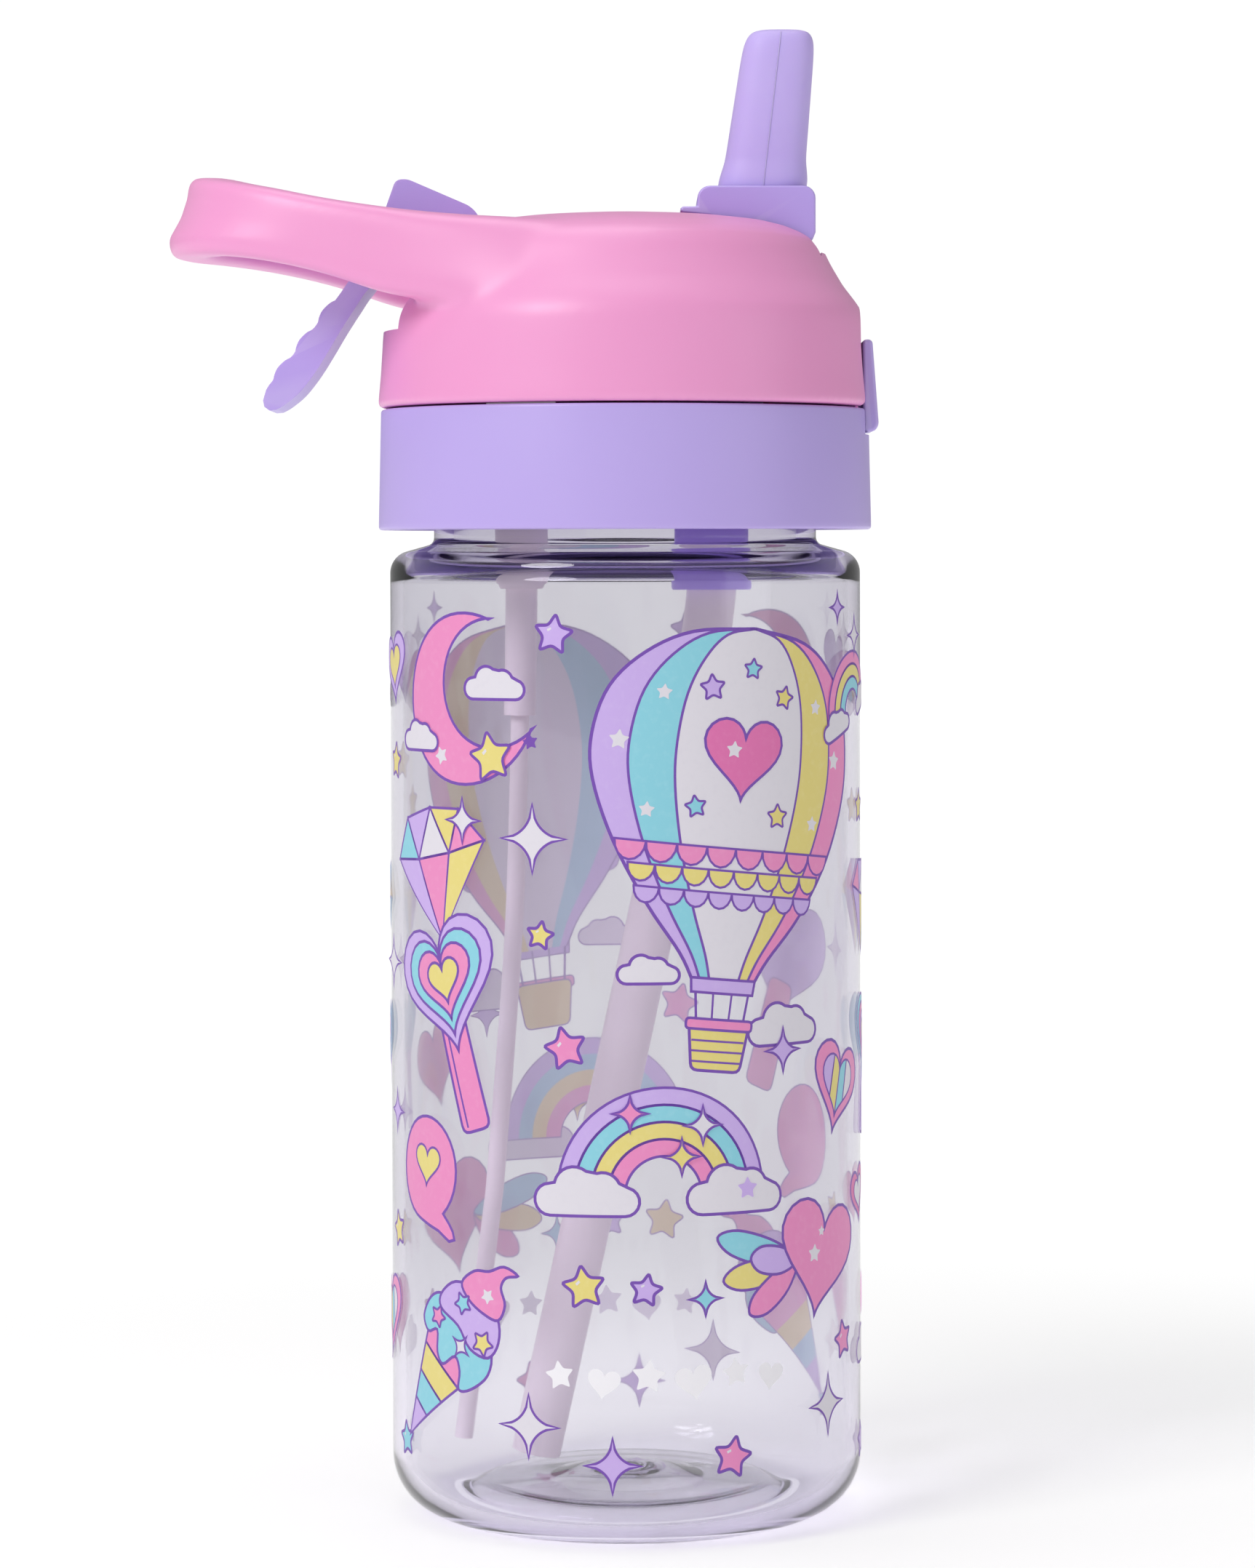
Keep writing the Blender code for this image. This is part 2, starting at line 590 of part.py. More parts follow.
def make_seals_and_tubes():
    made = {}
    made["neck_seal"] = turned(
        "neck_seal",
        [(30.8, DECK_UNDER_Z - GAP), (30.8, NECK_RIM_Z + GAP), (28.2, NECK_RIM_Z + GAP),
         (28.2, DECK_UNDER_Z - GAP)], PARTS,
    )
    made["straw_connector"] = turned(
        "straw_connector",
        [(4.4, 180.8), (4.4, DECK_UNDER_Z - GAP - 0.4), (6.0, DECK_UNDER_Z - GAP - 0.4), (6.0, 153.2),
         (6.5, 153.2), (6.5, 149.4), (STRAW_R + GAP, 149.4), (STRAW_R + GAP, 158.0), (2.7, 158.6),
         (2.7, 180.8)],
        PARTS, STRAW_X, steps=28,
    )
    made["straw_grommet"] = turned(
        "straw_grommet",
        [(8.4, 179.8), (8.4, DECK_TOP_Z + GAP), (6.9, DECK_TOP_Z + GAP), (6.9, DECK_UNDER_Z),
         (4.7, DECK_UNDER_Z), (4.7, 179.8)], PARTS, STRAW_X, steps=28,
    )
    made["vent_nipple"] = turned(
        "vent_nipple",
        [(5.6, 179.8), (5.6, DECK_TOP_Z + GAP), (4.3, DECK_TOP_Z + GAP), (4.3, 156.5), (4.15, 151.4),
         (3.6, 149.6), (2.9, 149.6), (2.9, 158.4), (1.5, 159.0), (1.5, 179.8)],
        PARTS, VENT_X, steps=24,
    )
    made["vent_sleeve"] = wire(
        "vent_sleeve",
        [(VENT_X, 0, 158.0), (VENT_X, 0, 150.0), (VENT_X - 0.1, 0, 140.0), (VENT_X - 0.3, 0, 129.0)],
        2.6, PARTS, resolution=3, wall=0.7,
    )
    made["vent_tube"] = wire(
        "vent_tube",
        smooth_path([
            (VENT_X, 0, 150.0), (VENT_X - 0.3, 0, 129.0), (-17.5, 0, 112.0), (-18.4, 0, 90.6),
            (-21.0, 0, 56.9), (-22.2, 0, 45.7), (-26.6, 0, 11.4),
        ], 3),
        1.5, PARTS, resolution=2, wall=0.5,
    )
    made["drinking_straw"] = wire(
        "drinking_straw",
        smooth_path([
            (STRAW_X, 0, 157.4), (STRAW_X, 0, 149.2), (10.6, 0, 126.0), (4.6, 0, 97.7),
            (-4.0, 0, 58.0), (-10.6, 0, 28.0), (-14.8, 0, 9.0),
        ]),
        STRAW_R, PARTS, resolution=4, wall=STRAW_WALL,
    )
    made["spout_neck"] = wire(
        "spout_neck",
        smooth_path([
            (STRAW_X, 0, 181.8), (14.7, 0, 184.6), (18.6, 0, 188.2), (21.6, 0, 191.8),
            (22.5, 0, 195.2), (22.5, 0, 198.2),
        ], 2),
        3.6, PARTS, resolution=3, wall=1.0,
    )
    return made


def main():
    clear_scene()
    global PARTS, CUTTERS
    PARTS = new_collection("kids_water_bottle")
    CUTTERS = new_collection("cutters")
    pink = plastic("satin_pink", (0.86, 0.38, 0.66), 0.42)
    lilac = plastic("satin_lilac", (0.54, 0.44, 0.80), 0.40)
    silicone = plastic("soft_lilac", (0.60, 0.50, 0.85), 0.55)
    clear = plastic("clear_lilac_grey", (0.86, 0.84, 0.92), 0.04, transmission=1.0, ior=1.55)
    tube_pink = plastic("translucent_pink", (0.90, 0.72, 0.82), 0.35, transmission=0.6, ior=1.41)
    steel = plastic("spring_steel", (0.62, 0.62, 0.64), 0.3, metallic=1.0)

    spout_axis = pivot("spout_axis", *SPOUT_PIVOT)
    lever_axis = pivot("lever_axis", *LEVER_PIVOT)
    made = {
        "bottle_body": make_bottle(),
        "cap_collar": make_cap_collar(),
        "lid_shell": make_lid(),
        "spout_carrier": make_carrier(PARTS, spout_axis),
        "spout": make_spout(PARTS, spout_axis),
        "rear_lever": make_lever(PARTS, lever_axis),
        "latch_button": make_latch(PARTS),
    }
    made.update(make_seals_and_tubes())
    for name, (x, z), parent in (
        ("spout", SPOUT_PIVOT, spout_axis), ("lever", LEVER_PIVOT, lever_axis)
    ):
        made[name + "_pin"] = cross_rod(
            name + "_pin", x, z, PIN_R, -PIN_HALF_LENGTH, PIN_HALF_LENGTH, PARTS
        )
        made[name + "_spring"] = coil(
            name + "_spring", (x, -7.7, z), "Y", 2.9, 2.5, 0.8, PARTS, parent
        )
    made["latch_spring"] = coil("latch_spring", (28.4, 0, 183.5), "X", 2.2, 2.0, 0.85, PARTS)

    looks = {
        "bottle_body": clear, "cap_collar": lilac, "lid_shell": pink, "spout_carrier": lilac,
        "spout": silicone, "rear_lever": lilac, "latch_button": lilac, "neck_seal": silicone,
        "straw_connector": lilac, "straw_grommet": silicone, "vent_nipple": tube_pink,
        "vent_sleeve": tube_pink, "vent_tube": tube_pink, "drinking_straw": tube_pink,
        "spout_neck": silicone, "spout_pin": steel, "lever_pin": steel, "spout_spring": steel,
        "lever_spring": steel, "latch_spring": steel,
    }
    for name, look in looks.items():
        own = look.copy()
        own.name = name
        made[name].data.materials.append(own)


main()
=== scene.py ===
import json
import math

import bmesh
import bpy
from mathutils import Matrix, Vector, geometry


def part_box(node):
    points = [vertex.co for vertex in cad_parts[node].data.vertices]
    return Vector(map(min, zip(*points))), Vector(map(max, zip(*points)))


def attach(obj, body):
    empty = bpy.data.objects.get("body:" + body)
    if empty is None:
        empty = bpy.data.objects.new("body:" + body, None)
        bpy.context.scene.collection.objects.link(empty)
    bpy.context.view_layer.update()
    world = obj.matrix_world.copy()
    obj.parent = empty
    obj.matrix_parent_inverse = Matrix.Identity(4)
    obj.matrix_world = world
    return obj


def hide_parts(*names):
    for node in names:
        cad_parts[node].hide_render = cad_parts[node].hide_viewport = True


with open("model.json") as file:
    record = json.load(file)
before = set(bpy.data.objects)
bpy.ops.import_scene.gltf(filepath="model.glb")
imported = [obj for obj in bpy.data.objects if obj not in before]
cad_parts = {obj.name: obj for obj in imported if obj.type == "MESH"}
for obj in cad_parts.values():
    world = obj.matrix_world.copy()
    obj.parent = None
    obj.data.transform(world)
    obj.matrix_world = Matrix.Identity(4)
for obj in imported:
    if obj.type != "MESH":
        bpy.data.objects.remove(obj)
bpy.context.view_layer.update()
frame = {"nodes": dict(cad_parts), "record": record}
mm = 0.001  # lengths below are in millimetres
print("frame loaded")

# places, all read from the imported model
bodyLow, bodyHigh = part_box("bottle_body")
collarLow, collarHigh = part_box("cap_collar")
axisX = (bodyLow.x + bodyHigh.x) / 2 / mm
bodyRadius = (bodyHigh.x - bodyLow.x) / 2 / mm
rimZ = bodyHigh.z / mm
collarFoot = collarLow.z / mm
deckTop = collarHigh.z / mm
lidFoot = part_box("lid_shell")[0].z / mm
jointAt = {j["name"]: j for j in frame["record"]["behaviour"]["joints"]}
spoutPivot = [v / mm for v in jointAt["spout_fold"]["pos_m"]]
leverPivot = [v / mm for v in jointAt["lever_close"]["pos_m"]]


def middleX(name):
    low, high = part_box(name)
    return round((low.x + high.x) / 2 / mm, 1)


strawX, ventX = middleX("straw_connector"), middleX("vent_nipple")


# i0, i1 and so on give an input by its number, and other keys by its label
def node(tree, kind, settings=None, **inputs):
    made = tree.nodes.new(kind)
    for key, value in (settings or {}).items():
        setattr(made, key, value)
    for key, value in inputs.items():
        numbered = key[0] == "i" and key[1:].isdigit()
        socket = made.inputs[int(key[1:]) if numbered else key]
        if hasattr(value, "is_output") or hasattr(value, "links"):
            tree.links.new(value, socket)
        else:
            socket.default_value = value
    return made


cameraSetup = {
    "lens": 108.5, "distance": 766.0, "height": 155.9, "aside": 0.4,
    "tiltDown": 1.4, "roll": 0.12, "shiftY": -0.0766,
}
lightSetup = {
    "skySeen": 1.02, "skyLight": 0.31, "skyInside": 0.45, "aimHeight": 120.0,
    "lamps": {
        "key": {"at": (-540, -580, 760), "size": 420, "power": 4.9, "tint": (1.0, 0.99, 0.98)},
        "fill": {"at": (760, -420, 260), "size": 420, "power": 0.35, "tint": (0.97, 0.98, 1.0)},
        "top": {"at": (-60, 40, 900), "size": 500, "power": 1.6, "tint": (1.0, 1.0, 1.0)},
    },
}


def makeCamera():
    data = bpy.data.cameras.new("camera")
    data.lens = cameraSetup["lens"]
    data.sensor_width = 36.0
    data.shift_y = cameraSetup["shiftY"]
    data.clip_start = 0.01
    camera = bpy.data.objects.new("camera", data)
    place = (axisX + cameraSetup["aside"], -cameraSetup["distance"], cameraSetup["height"])
    camera.location = Vector(place) * mm
    camera.rotation_euler = [math.radians(v) for v in (90 - cameraSetup["tiltDown"], cameraSetup["roll"], 0)]
    bpy.context.scene.collection.objects.link(camera)
    bpy.context.scene.camera = camera


def makeLights():
    aim = Vector((0, 0, lightSetup["aimHeight"] * mm))
    for name, setup in lightSetup["lamps"].items():
        data = bpy.data.lights.new(name, "AREA")
        data.shape = "DISK"
        data.size = setup["size"] * mm
        data.energy = setup["power"]
        data.color = setup["tint"]
        lamp = bpy.data.objects.new(name, data)
        lamp.location = Vector(setup["at"]) * mm
        lamp.rotation_euler = (aim - lamp.location).to_track_quat("-Z", "Y").to_euler()
        bpy.context.scene.collection.objects.link(lamp)
    # the sky is bright to look at, less so once light is inside the plastic, and soft as a lamp
    world = bpy.data.worlds.new("studio")
    world.use_nodes = True
    tree = world.node_tree
    rays = tree.nodes.new("ShaderNodeLightPath")
    direct = node(tree, "ShaderNodeMath", {"operation": "MAXIMUM"}, i0=rays.outputs["Is Camera Ray"],
                  i1=rays.outputs["Is Transmission Ray"])
    inside = node(tree, "ShaderNodeMath", {"operation": "GREATER_THAN"},
                  i0=rays.outputs["Transmission Depth"], i1=0.5)
    partly = node(tree, "ShaderNodeMath", {"operation": "MULTIPLY"}, i0=inside.outputs[0],
                  i1=lightSetup["skyInside"])
    seen = node(tree, "ShaderNodeMath", {"operation": "MAXIMUM"}, i0=direct.outputs[0], i1=partly.outputs[0])
    level = node(tree, "ShaderNodeMapRange", None, i0=seen.outputs[0], i3=lightSetup["skyLight"],
                 i4=lightSetup["skySeen"])
    tree.nodes["Background"].inputs["Color"].default_value = (1, 1, 1, 1)
    tree.links.new(level.outputs[0], tree.nodes["Background"].inputs["Strength"])
    bpy.context.scene.world = world
    bpy.context.scene.view_settings.view_transform = "Standard"


colour, number = "NodeSocketColor", "NodeSocketFloat"


def newGroup(name, inputs, outputs):
    group = bpy.data.node_groups.new(name, "ShaderNodeTree")
    for label, kind, value in inputs:
        socket = group.interface.new_socket(name=label, in_out="INPUT", socket_type=kind)
        if value is not None:
            socket.default_value = value
    for label, kind in outputs:
        group.interface.new_socket(name=label, in_out="OUTPUT", socket_type=kind)
    return group, group.nodes.new("NodeGroupInput"), group.nodes.new("NodeGroupOutput")


# colour drift, fine grain and flow marks of injection moulded plastic, and a painted highlight that lightens sharp
# edges
def makeMouldedGroup():
    group, into, out = newGroup(
        "mouldedPlastic",
        [("Base", colour, (1, 1, 1, 1)), ("Drift", colour, (1, 1, 1, 1)), ("Drift Amount", number, 0.3),
         ("Drift Scale", number, 45.0), ("Grain Scale", number, 3200.0), ("Roughness", number, 0.4),
         ("Roughness Spread", number, 0.08), ("Edge Light", number, 0.06)],
        [("Color", colour), ("Roughness", number), ("Height", number)],
    )
    at = group.nodes.new("ShaderNodeTexCoord").outputs["Object"]
    broad = node(group, "ShaderNodeTexNoise", {"noise_dimensions": "3D"}, Vector=at, Detail=3.0, Roughness=0.55)
    group.links.new(into.outputs["Drift Scale"], broad.inputs["Scale"])
    fine = node(group, "ShaderNodeTexNoise", None, Vector=at, Detail=2.0, Roughness=0.7)
    group.links.new(into.outputs["Grain Scale"], fine.inputs["Scale"])
    flowMap = node(group, "ShaderNodeMapping", None, Vector=at, Scale=(1.0, 1.0, 0.16))
    flow = node(group, "ShaderNodeTexNoise", None, Vector=flowMap.outputs[0], Scale=190.0, Detail=2.0,
                Distortion=0.8)
    amount = node(group, "ShaderNodeMath", {"operation": "MULTIPLY"}, i0=broad.outputs["Fac"])
    group.links.new(into.outputs["Drift Amount"], amount.inputs[1])
    drift = node(group, "ShaderNodeMix", {"data_type": "RGBA"}, i0=amount.outputs[0])
    group.links.new(into.outputs["Base"], drift.inputs[6])
    group.links.new(into.outputs["Drift"], drift.inputs[7])
    # sharp edges are screened towards white: a painted highlight
    sharp = group.nodes.new("ShaderNodeNewGeometry").outputs["Pointiness"]
    edge = node(group, "ShaderNodeMapRange", None, i0=sharp, i1=0.52, i2=0.60, i3=0.0, i4=1.0)
    paintedHighlightAmount = node(group, "ShaderNodeMath", {"operation": "MULTIPLY"}, i0=edge.outputs[0])
    group.links.new(into.outputs["Edge Light"], paintedHighlightAmount.inputs[1])
    lit = node(group, "ShaderNodeMix", {"data_type": "RGBA", "blend_type": "SCREEN"},
               i0=paintedHighlightAmount.outputs[0], i6=drift.outputs[2], i7=(1, 1, 1, 1))
    group.links.new(lit.outputs[2], out.inputs["Color"])
    mixed = node(group, "ShaderNodeMath", {"operation": "ADD"}, i0=fine.outputs["Fac"], i1=flow.outputs["Fac"])
    centred = node(group, "ShaderNodeMath", {"operation": "SUBTRACT"}, i0=mixed.outputs[0], i1=1.0)
    spread = node(group, "ShaderNodeMath", {"operation": "MULTIPLY"}, i0=centred.outputs[0])
    group.links.new(into.outputs["Roughness Spread"], spread.inputs[1])
    rough = node(group, "ShaderNodeMath", {"operation": "ADD"}, i0=spread.outputs[0])
    group.links.new(into.outputs["Roughness"], rough.inputs[1])
    group.links.new(rough.outputs[0], out.inputs["Roughness"])
    flowPart = node(group, "ShaderNodeMath", {"operation": "MULTIPLY"}, i0=flow.outputs["Fac"], i1=0.6)
    height = node(group, "ShaderNodeMath", {"operation": "ADD"}, i0=fine.outputs["Fac"], i1=flowPart.outputs[0])
    group.links.new(height.outputs[0], out.inputs["Height"])
    return group


# the powdery, slightly cloudy skin of silicone rubber, with clinging specks
def makeSiliconeGroup():
    group, into, out = newGroup(
        "siliconeSkin",
        [("Base", colour, (1, 1, 1, 1)), ("Bloom", colour, (1, 1, 1, 1)), ("Bloom Amount", number, 0.2),
         ("Cloud Scale", number, 70.0), ("Roughness", number, 0.5)],
        [("Color", colour), ("Roughness", number), ("Height", number)],
    )
    at = group.nodes.new("ShaderNodeTexCoord").outputs["Object"]
    cloud = node(group, "ShaderNodeTexNoise", None, Vector=at, Detail=4.0, Roughness=0.6)
    group.links.new(into.outputs["Cloud Scale"], cloud.inputs["Scale"])
    speck = node(group, "ShaderNodeTexVoronoi", {"feature": "F1"}, Vector=at, Scale=650.0, Randomness=1.0)
    dust = node(group, "ShaderNodeMapRange", None, i0=speck.outputs["Distance"], i1=0.05, i2=0.16, i3=1.0, i4=0.0)
    amount = node(group, "ShaderNodeMath", {"operation": "MULTIPLY"}, i0=cloud.outputs["Fac"])
    group.links.new(into.outputs["Bloom Amount"], amount.inputs[1])
    withDust = node(group, "ShaderNodeMath", {"operation": "MULTIPLY_ADD"}, i0=dust.outputs[0], i1=0.10,
                    i2=amount.outputs[0])
    mix = node(group, "ShaderNodeMix", {"data_type": "RGBA"}, i0=withDust.outputs[0])
    group.links.new(into.outputs["Base"], mix.inputs[6])
    group.links.new(into.outputs["Bloom"], mix.inputs[7])
    group.links.new(mix.outputs[2], out.inputs["Color"])
    rough = node(group, "ShaderNodeMath", {"operation": "MULTIPLY_ADD"}, i0=cloud.outputs["Fac"], i1=0.16)
    group.links.new(into.outputs["Roughness"], rough.inputs[2])
    group.links.new(rough.outputs[0], out.inputs["Roughness"])
    tooth = node(group, "ShaderNodeTexNoise", None, Vector=at, Scale=2400.0, Detail=2.0)
    group.links.new(tooth.outputs["Fac"], out.inputs["Height"])
    return group


# screen printed ink: faint pinholes, a soft mottle and a slightly raised film
def makeInkGroup():
    group, into, out = newGroup(
        "printedInk",
        [("Ink", colour, (1, 1, 1, 1)), ("Thin Ink", colour, (1, 1, 1, 1)), ("Roughness", number, 0.4)],
        [("Color", colour), ("Roughness", number), ("Height", number)],
    )
    at = group.nodes.new("ShaderNodeTexCoord").outputs["Object"]
    mottle = node(group, "ShaderNodeTexNoise", None, Vector=at, Scale=900.0, Detail=3.0)
    wash = node(group, "ShaderNodeTexNoise", None, Vector=at, Scale=60.0, Detail=1.0)
    thin = node(group, "ShaderNodeMapRange", None, i0=mottle.outputs["Fac"], i1=0.50, i2=0.80, i3=0.0, i4=0.35)
    both = node(group, "ShaderNodeMath", {"operation": "MULTIPLY_ADD"}, i0=wash.outputs["Fac"], i1=0.22,
                i2=thin.outputs[0])
    mix = node(group, "ShaderNodeMix", {"data_type": "RGBA"}, i0=both.outputs[0])
    group.links.new(into.outputs["Ink"], mix.inputs[6])
    group.links.new(into.outputs["Thin Ink"], mix.inputs[7])
    group.links.new(mix.outputs[2], out.inputs["Color"])
    rough = node(group, "ShaderNodeMath", {"operation": "MULTIPLY_ADD"}, i0=mottle.outputs["Fac"], i1=0.14)
    group.links.new(into.outputs["Roughness"], rough.inputs[2])
    group.links.new(rough.outputs[0], out.inputs["Roughness"])
    group.links.new(mottle.outputs["Fac"], out.inputs["Height"])
    return group


def startMaterial(name):
    made = bpy.data.materials.new(name)
    made.use_nodes = True
    tree = made.node_tree
    return made, tree, tree.nodes["Principled BSDF"]


# puts a shared group in a material and feeds its colour, roughness and bump
def placeGroup(tree, group, shader, bumpDistance, bumpStrength, **values):
    use = tree.nodes.new("ShaderNodeGroup")
    use.node_tree = group
    for label, value in values.items():
        use.inputs[label.replace("_", " ")].default_value = value
    tree.links.new(use.outputs["Color"], shader.inputs["Base Color"])
    tree.links.new(use.outputs["Roughness"], shader.inputs["Roughness"])
    bump = tree.nodes.new("ShaderNodeBump")
    bump.inputs["Distance"].default_value = bumpDistance * mm
    bump.inputs["Strength"].default_value = bumpStrength
    tree.links.new(use.outputs["Height"], bump.inputs["Height"])
    tree.links.new(bump.outputs["Normal"], shader.inputs["Normal"])
    return use


# painted glow: the part's own colour is fed to its emission, so it glows though it is no lamp
def paintedGlow(tree, shader, strength):
    shown = shader.inputs["Base Color"].links[0].from_socket
    tree.links.new(shown, shader.inputs["Emission Color"])
    shader.inputs["Emission Strength"].default_value = strength


# What a user would change in the finishes: linear colours.
finishes = {
    "pinkShell": {"base": (0.865, 0.325, 0.625), "drift": (0.895, 0.375, 0.665), "rough": 0.40, "glow": 0.10,
                  "edge": 0.0},
    "lilacCap": {"base": (0.500, 0.385, 0.830), "drift": (0.540, 0.430, 0.850), "rough": 0.40, "glow": 0.08},
    "lilacParts": {"base": (0.465, 0.345, 0.820), "drift": (0.510, 0.395, 0.850), "rough": 0.38, "glow": 0.10},
    "softSpout": {"base": (0.530, 0.410, 0.860), "bloom": (0.64, 0.55, 0.90), "rough": 0.42, "glow": 0.35,
                  "seeThrough": 0.0},
    "seals": {"base": (0.60, 0.52, 0.84), "bloom": (0.72, 0.66, 0.90), "rough": 0.55, "glow": 0.35,
              "seeThrough": 0.0},
    # lift: a painted glow in the tubes' own colour
    "tubes": {"base": (0.87, 0.78, 0.86), "bloom": (0.90, 0.82, 0.89), "rough": 0.26, "glow": 0.0,
              "seeThrough": 0.22, "lift": 0.10},
    # connector: a darker, deeper copy of the lilac plastic as painted shade, and lift, a painted glow in that
    # colour
    "connector": {"base": (0.360, 0.235, 0.780), "drift": (0.41, 0.29, 0.82), "rough": 0.34, "glow": 0.10,
                  "lift": 0.22},
    "clearBody": {"tint": (0.38, 0.28, 0.58), "density": 70.0, "through": (0.86, 0.865, 0.865),
                  "rough": 0.02, "ior": 1.47},
    "steel": {"base": (0.62, 0.62, 0.64), "drift": (0.5, 0.5, 0.53), "rough": 0.26},
}


def mouldedMaterial(name, group):
    made, tree, shader = startMaterial(name)
    look = finishes[name]
    # the edge amount sets how strongly sharp edges are lightened: a painted highlight
    placeGroup(
        tree, group, shader, 0.02, 0.16, Base=(*look["base"], 1), Drift=(*look["drift"], 1),
        Drift_Amount=0.8, Drift_Scale=38.0, Grain_Scale=3200.0, Roughness=look["rough"],
        Roughness_Spread=0.10, Edge_Light=look.get("edge", 0.10),
    )
    shader.inputs["IOR"].default_value = 1.46
    if "lift" in look:
        paintedGlow(tree, shader, look["lift"])
    shader.inputs["Subsurface Weight"].default_value = look["glow"]
    shader.inputs["Subsurface Radius"].default_value = (1.0, 0.6, 0.8)
    shader.inputs["Subsurface Scale"].default_value = 1.5 * mm
    shader.inputs["Coat Weight"].default_value = 0.18
    shader.inputs["Coat Roughness"].default_value = 0.40
    return made


def siliconeMaterial(name, group):
    made, tree, shader = startMaterial(name)
    look = finishes[name]
    placeGroup(
        tree, group, shader, 0.02, 0.14, Base=(*look["base"], 1), Bloom=(*look["bloom"], 1),
        Bloom_Amount=0.5, Cloud_Scale=70.0, Roughness=look["rough"],
    )
    shader.inputs["IOR"].default_value = 1.41
    if "lift" in look:
        paintedGlow(tree, shader, look["lift"])
    shader.inputs["Subsurface Weight"].default_value = look["glow"]
    shader.inputs["Subsurface Radius"].default_value = (1.0, 0.7, 0.9)
    shader.inputs["Subsurface Scale"].default_value = 2.0 * mm
    shader.inputs["Transmission Weight"].default_value = look["seeThrough"]
    return made


def steelMaterial(name, group):
    made, tree, shader = startMaterial(name)
    look = finishes["steel"]
    # the edge amount sets how strongly sharp edges are lightened: a painted highlight
    placeGroup(
        tree, group, shader, 0.01, 0.2, Base=(*look["base"], 1), Drift=(*look["drift"], 1),
        Drift_Amount=0.6, Drift_Scale=300.0, Grain_Scale=5000.0, Roughness=look["rough"],
        Roughness_Spread=0.2, Edge_Light=0.1,
    )
    shader.inputs["Metallic"].default_value = 1.0
    return made


# clear tinted plastic. Lamps shine through it, and its walls darken with their depth
def clearMaterial(name):
    made, tree, shader = startMaterial(name)
    look = finishes["clearBody"]
    shader.inputs["Transmission Weight"].default_value = 1.0
    shader.inputs["IOR"].default_value = look["ior"]
    shader.inputs["Base Color"].default_value = (*look["through"], 1)
    at = tree.nodes.new("ShaderNodeTexCoord").outputs["Object"]
    wipe = node(tree, "ShaderNodeTexNoise", None, Vector=at, Scale=55.0, Detail=4.0, Roughness=0.6)
    haze = node(tree, "ShaderNodeMapRange", None, i0=wipe.outputs["Fac"], i1=0.35, i2=0.85,
                i3=look["rough"], i4=look["rough"] + 0.05)
    tree.links.new(haze.outputs[0], shader.inputs["Roughness"])
    stretched = node(tree, "ShaderNodeMapping", None, Vector=at, Scale=(1.0, 1.0, 0.35))
    waves = node(tree, "ShaderNodeTexNoise", None, Vector=stretched.outputs[0], Scale=42.0, Detail=1.0)
    bump = node(tree, "ShaderNodeBump", None, Height=waves.outputs["Fac"], Strength=0.25, Distance=0.25 * mm)
    tree.links.new(bump.outputs["Normal"], shader.inputs["Normal"])
    clear = node(tree, "ShaderNodeBsdfTransparent", None, Color=(0.97, 0.965, 0.98, 1))
    rays = tree.nodes.new("ShaderNodeLightPath")
    swap = tree.nodes.new("ShaderNodeMixShader")
    tree.links.new(rays.outputs["Is Shadow Ray"], swap.inputs[0])
    tree.links.new(shader.outputs[0], swap.inputs[1])
    tree.links.new(clear.outputs[0], swap.inputs[2])
    end = tree.nodes["Material Output"]
    tree.links.new(swap.outputs[0], end.inputs["Surface"])
    depth = node(tree, "ShaderNodeVolumeAbsorption", None, Color=(*look["tint"], 1), Density=look["density"])
    tree.links.new(depth.outputs[0], end.inputs["Volume"])
    return made


inkColours = {
    "pink": ((0.840, 0.255, 0.540), (0.88, 0.38, 0.62)),
    "rose": ((0.760, 0.160, 0.430), (0.82, 0.26, 0.52)),
    "lilac": ((0.590, 0.420, 0.840), (0.66, 0.52, 0.88)),
    "aqua": ((0.250, 0.640, 0.760), (0.38, 0.72, 0.82)),
    "yellow": ((0.800, 0.680, 0.210), (0.86, 0.76, 0.34)),
    "white": ((0.770, 0.740, 0.810), (0.71, 0.68, 0.76)),
    "milk": ((0.930, 0.915, 0.960), (0.89, 0.87, 0.93)),
    "violet": ((0.180, 0.066, 0.430), (0.22, 0.10, 0.47)),
}
# veil: the back of the print muted towards mauve, partly the print's back and partly painted shade; glow: a
# painted glow on the back of the print
inkReverse = {"veil": (0.80, 0.70, 0.77, 1), "showThrough": 0.50, "glow": 0.46}


# the printed side shows its colour, and the back, seen through the wall, a veiled one: a muted mauve that is
# partly the print's back and partly painted shade, brightened by a painted glow
def inkMaterial(name, group):
    made, tree, shader = startMaterial("ink_" + name)
    ink, thin = inkColours[name]
    use = placeGroup(tree, group, shader, 0.01, 0.15, Ink=(*ink, 1), Thin_Ink=(*thin, 1), Roughness=0.36)
    facing = tree.nodes.new("ShaderNodeNewGeometry").outputs["Backfacing"]
    backTintAndShade = node(tree, "ShaderNodeMix", {"data_type": "RGBA"}, i0=inkReverse["showThrough"],
                  i6=inkReverse["veil"], i7=use.outputs["Color"])
    side = node(tree, "ShaderNodeMix", {"data_type": "RGBA"}, i0=facing, i6=use.outputs["Color"],
                i7=backTintAndShade.outputs[2])
    tree.links.new(side.outputs[2], shader.inputs["Base Color"])
    # the back of the print glows in its veiled colour: a painted glow
    paintedBackGlow = node(tree, "ShaderNodeMix", {"data_type": "RGBA"}, i0=facing, i6=(0, 0, 0, 1),
                      i7=backTintAndShade.outputs[2])
    tree.links.new(paintedBackGlow.outputs[2], shader.inputs["Emission Color"])
    shader.inputs["Emission Strength"].default_value = inkReverse["glow"]
    shader.inputs["IOR"].default_value = 1.48
    return made


def addObject(name, data, material=None):
    obj = bpy.data.objects.new(name, data)
    bpy.context.scene.collection.objects.link(obj)
    if material is not None:
        data.materials.append(material)
    return obj


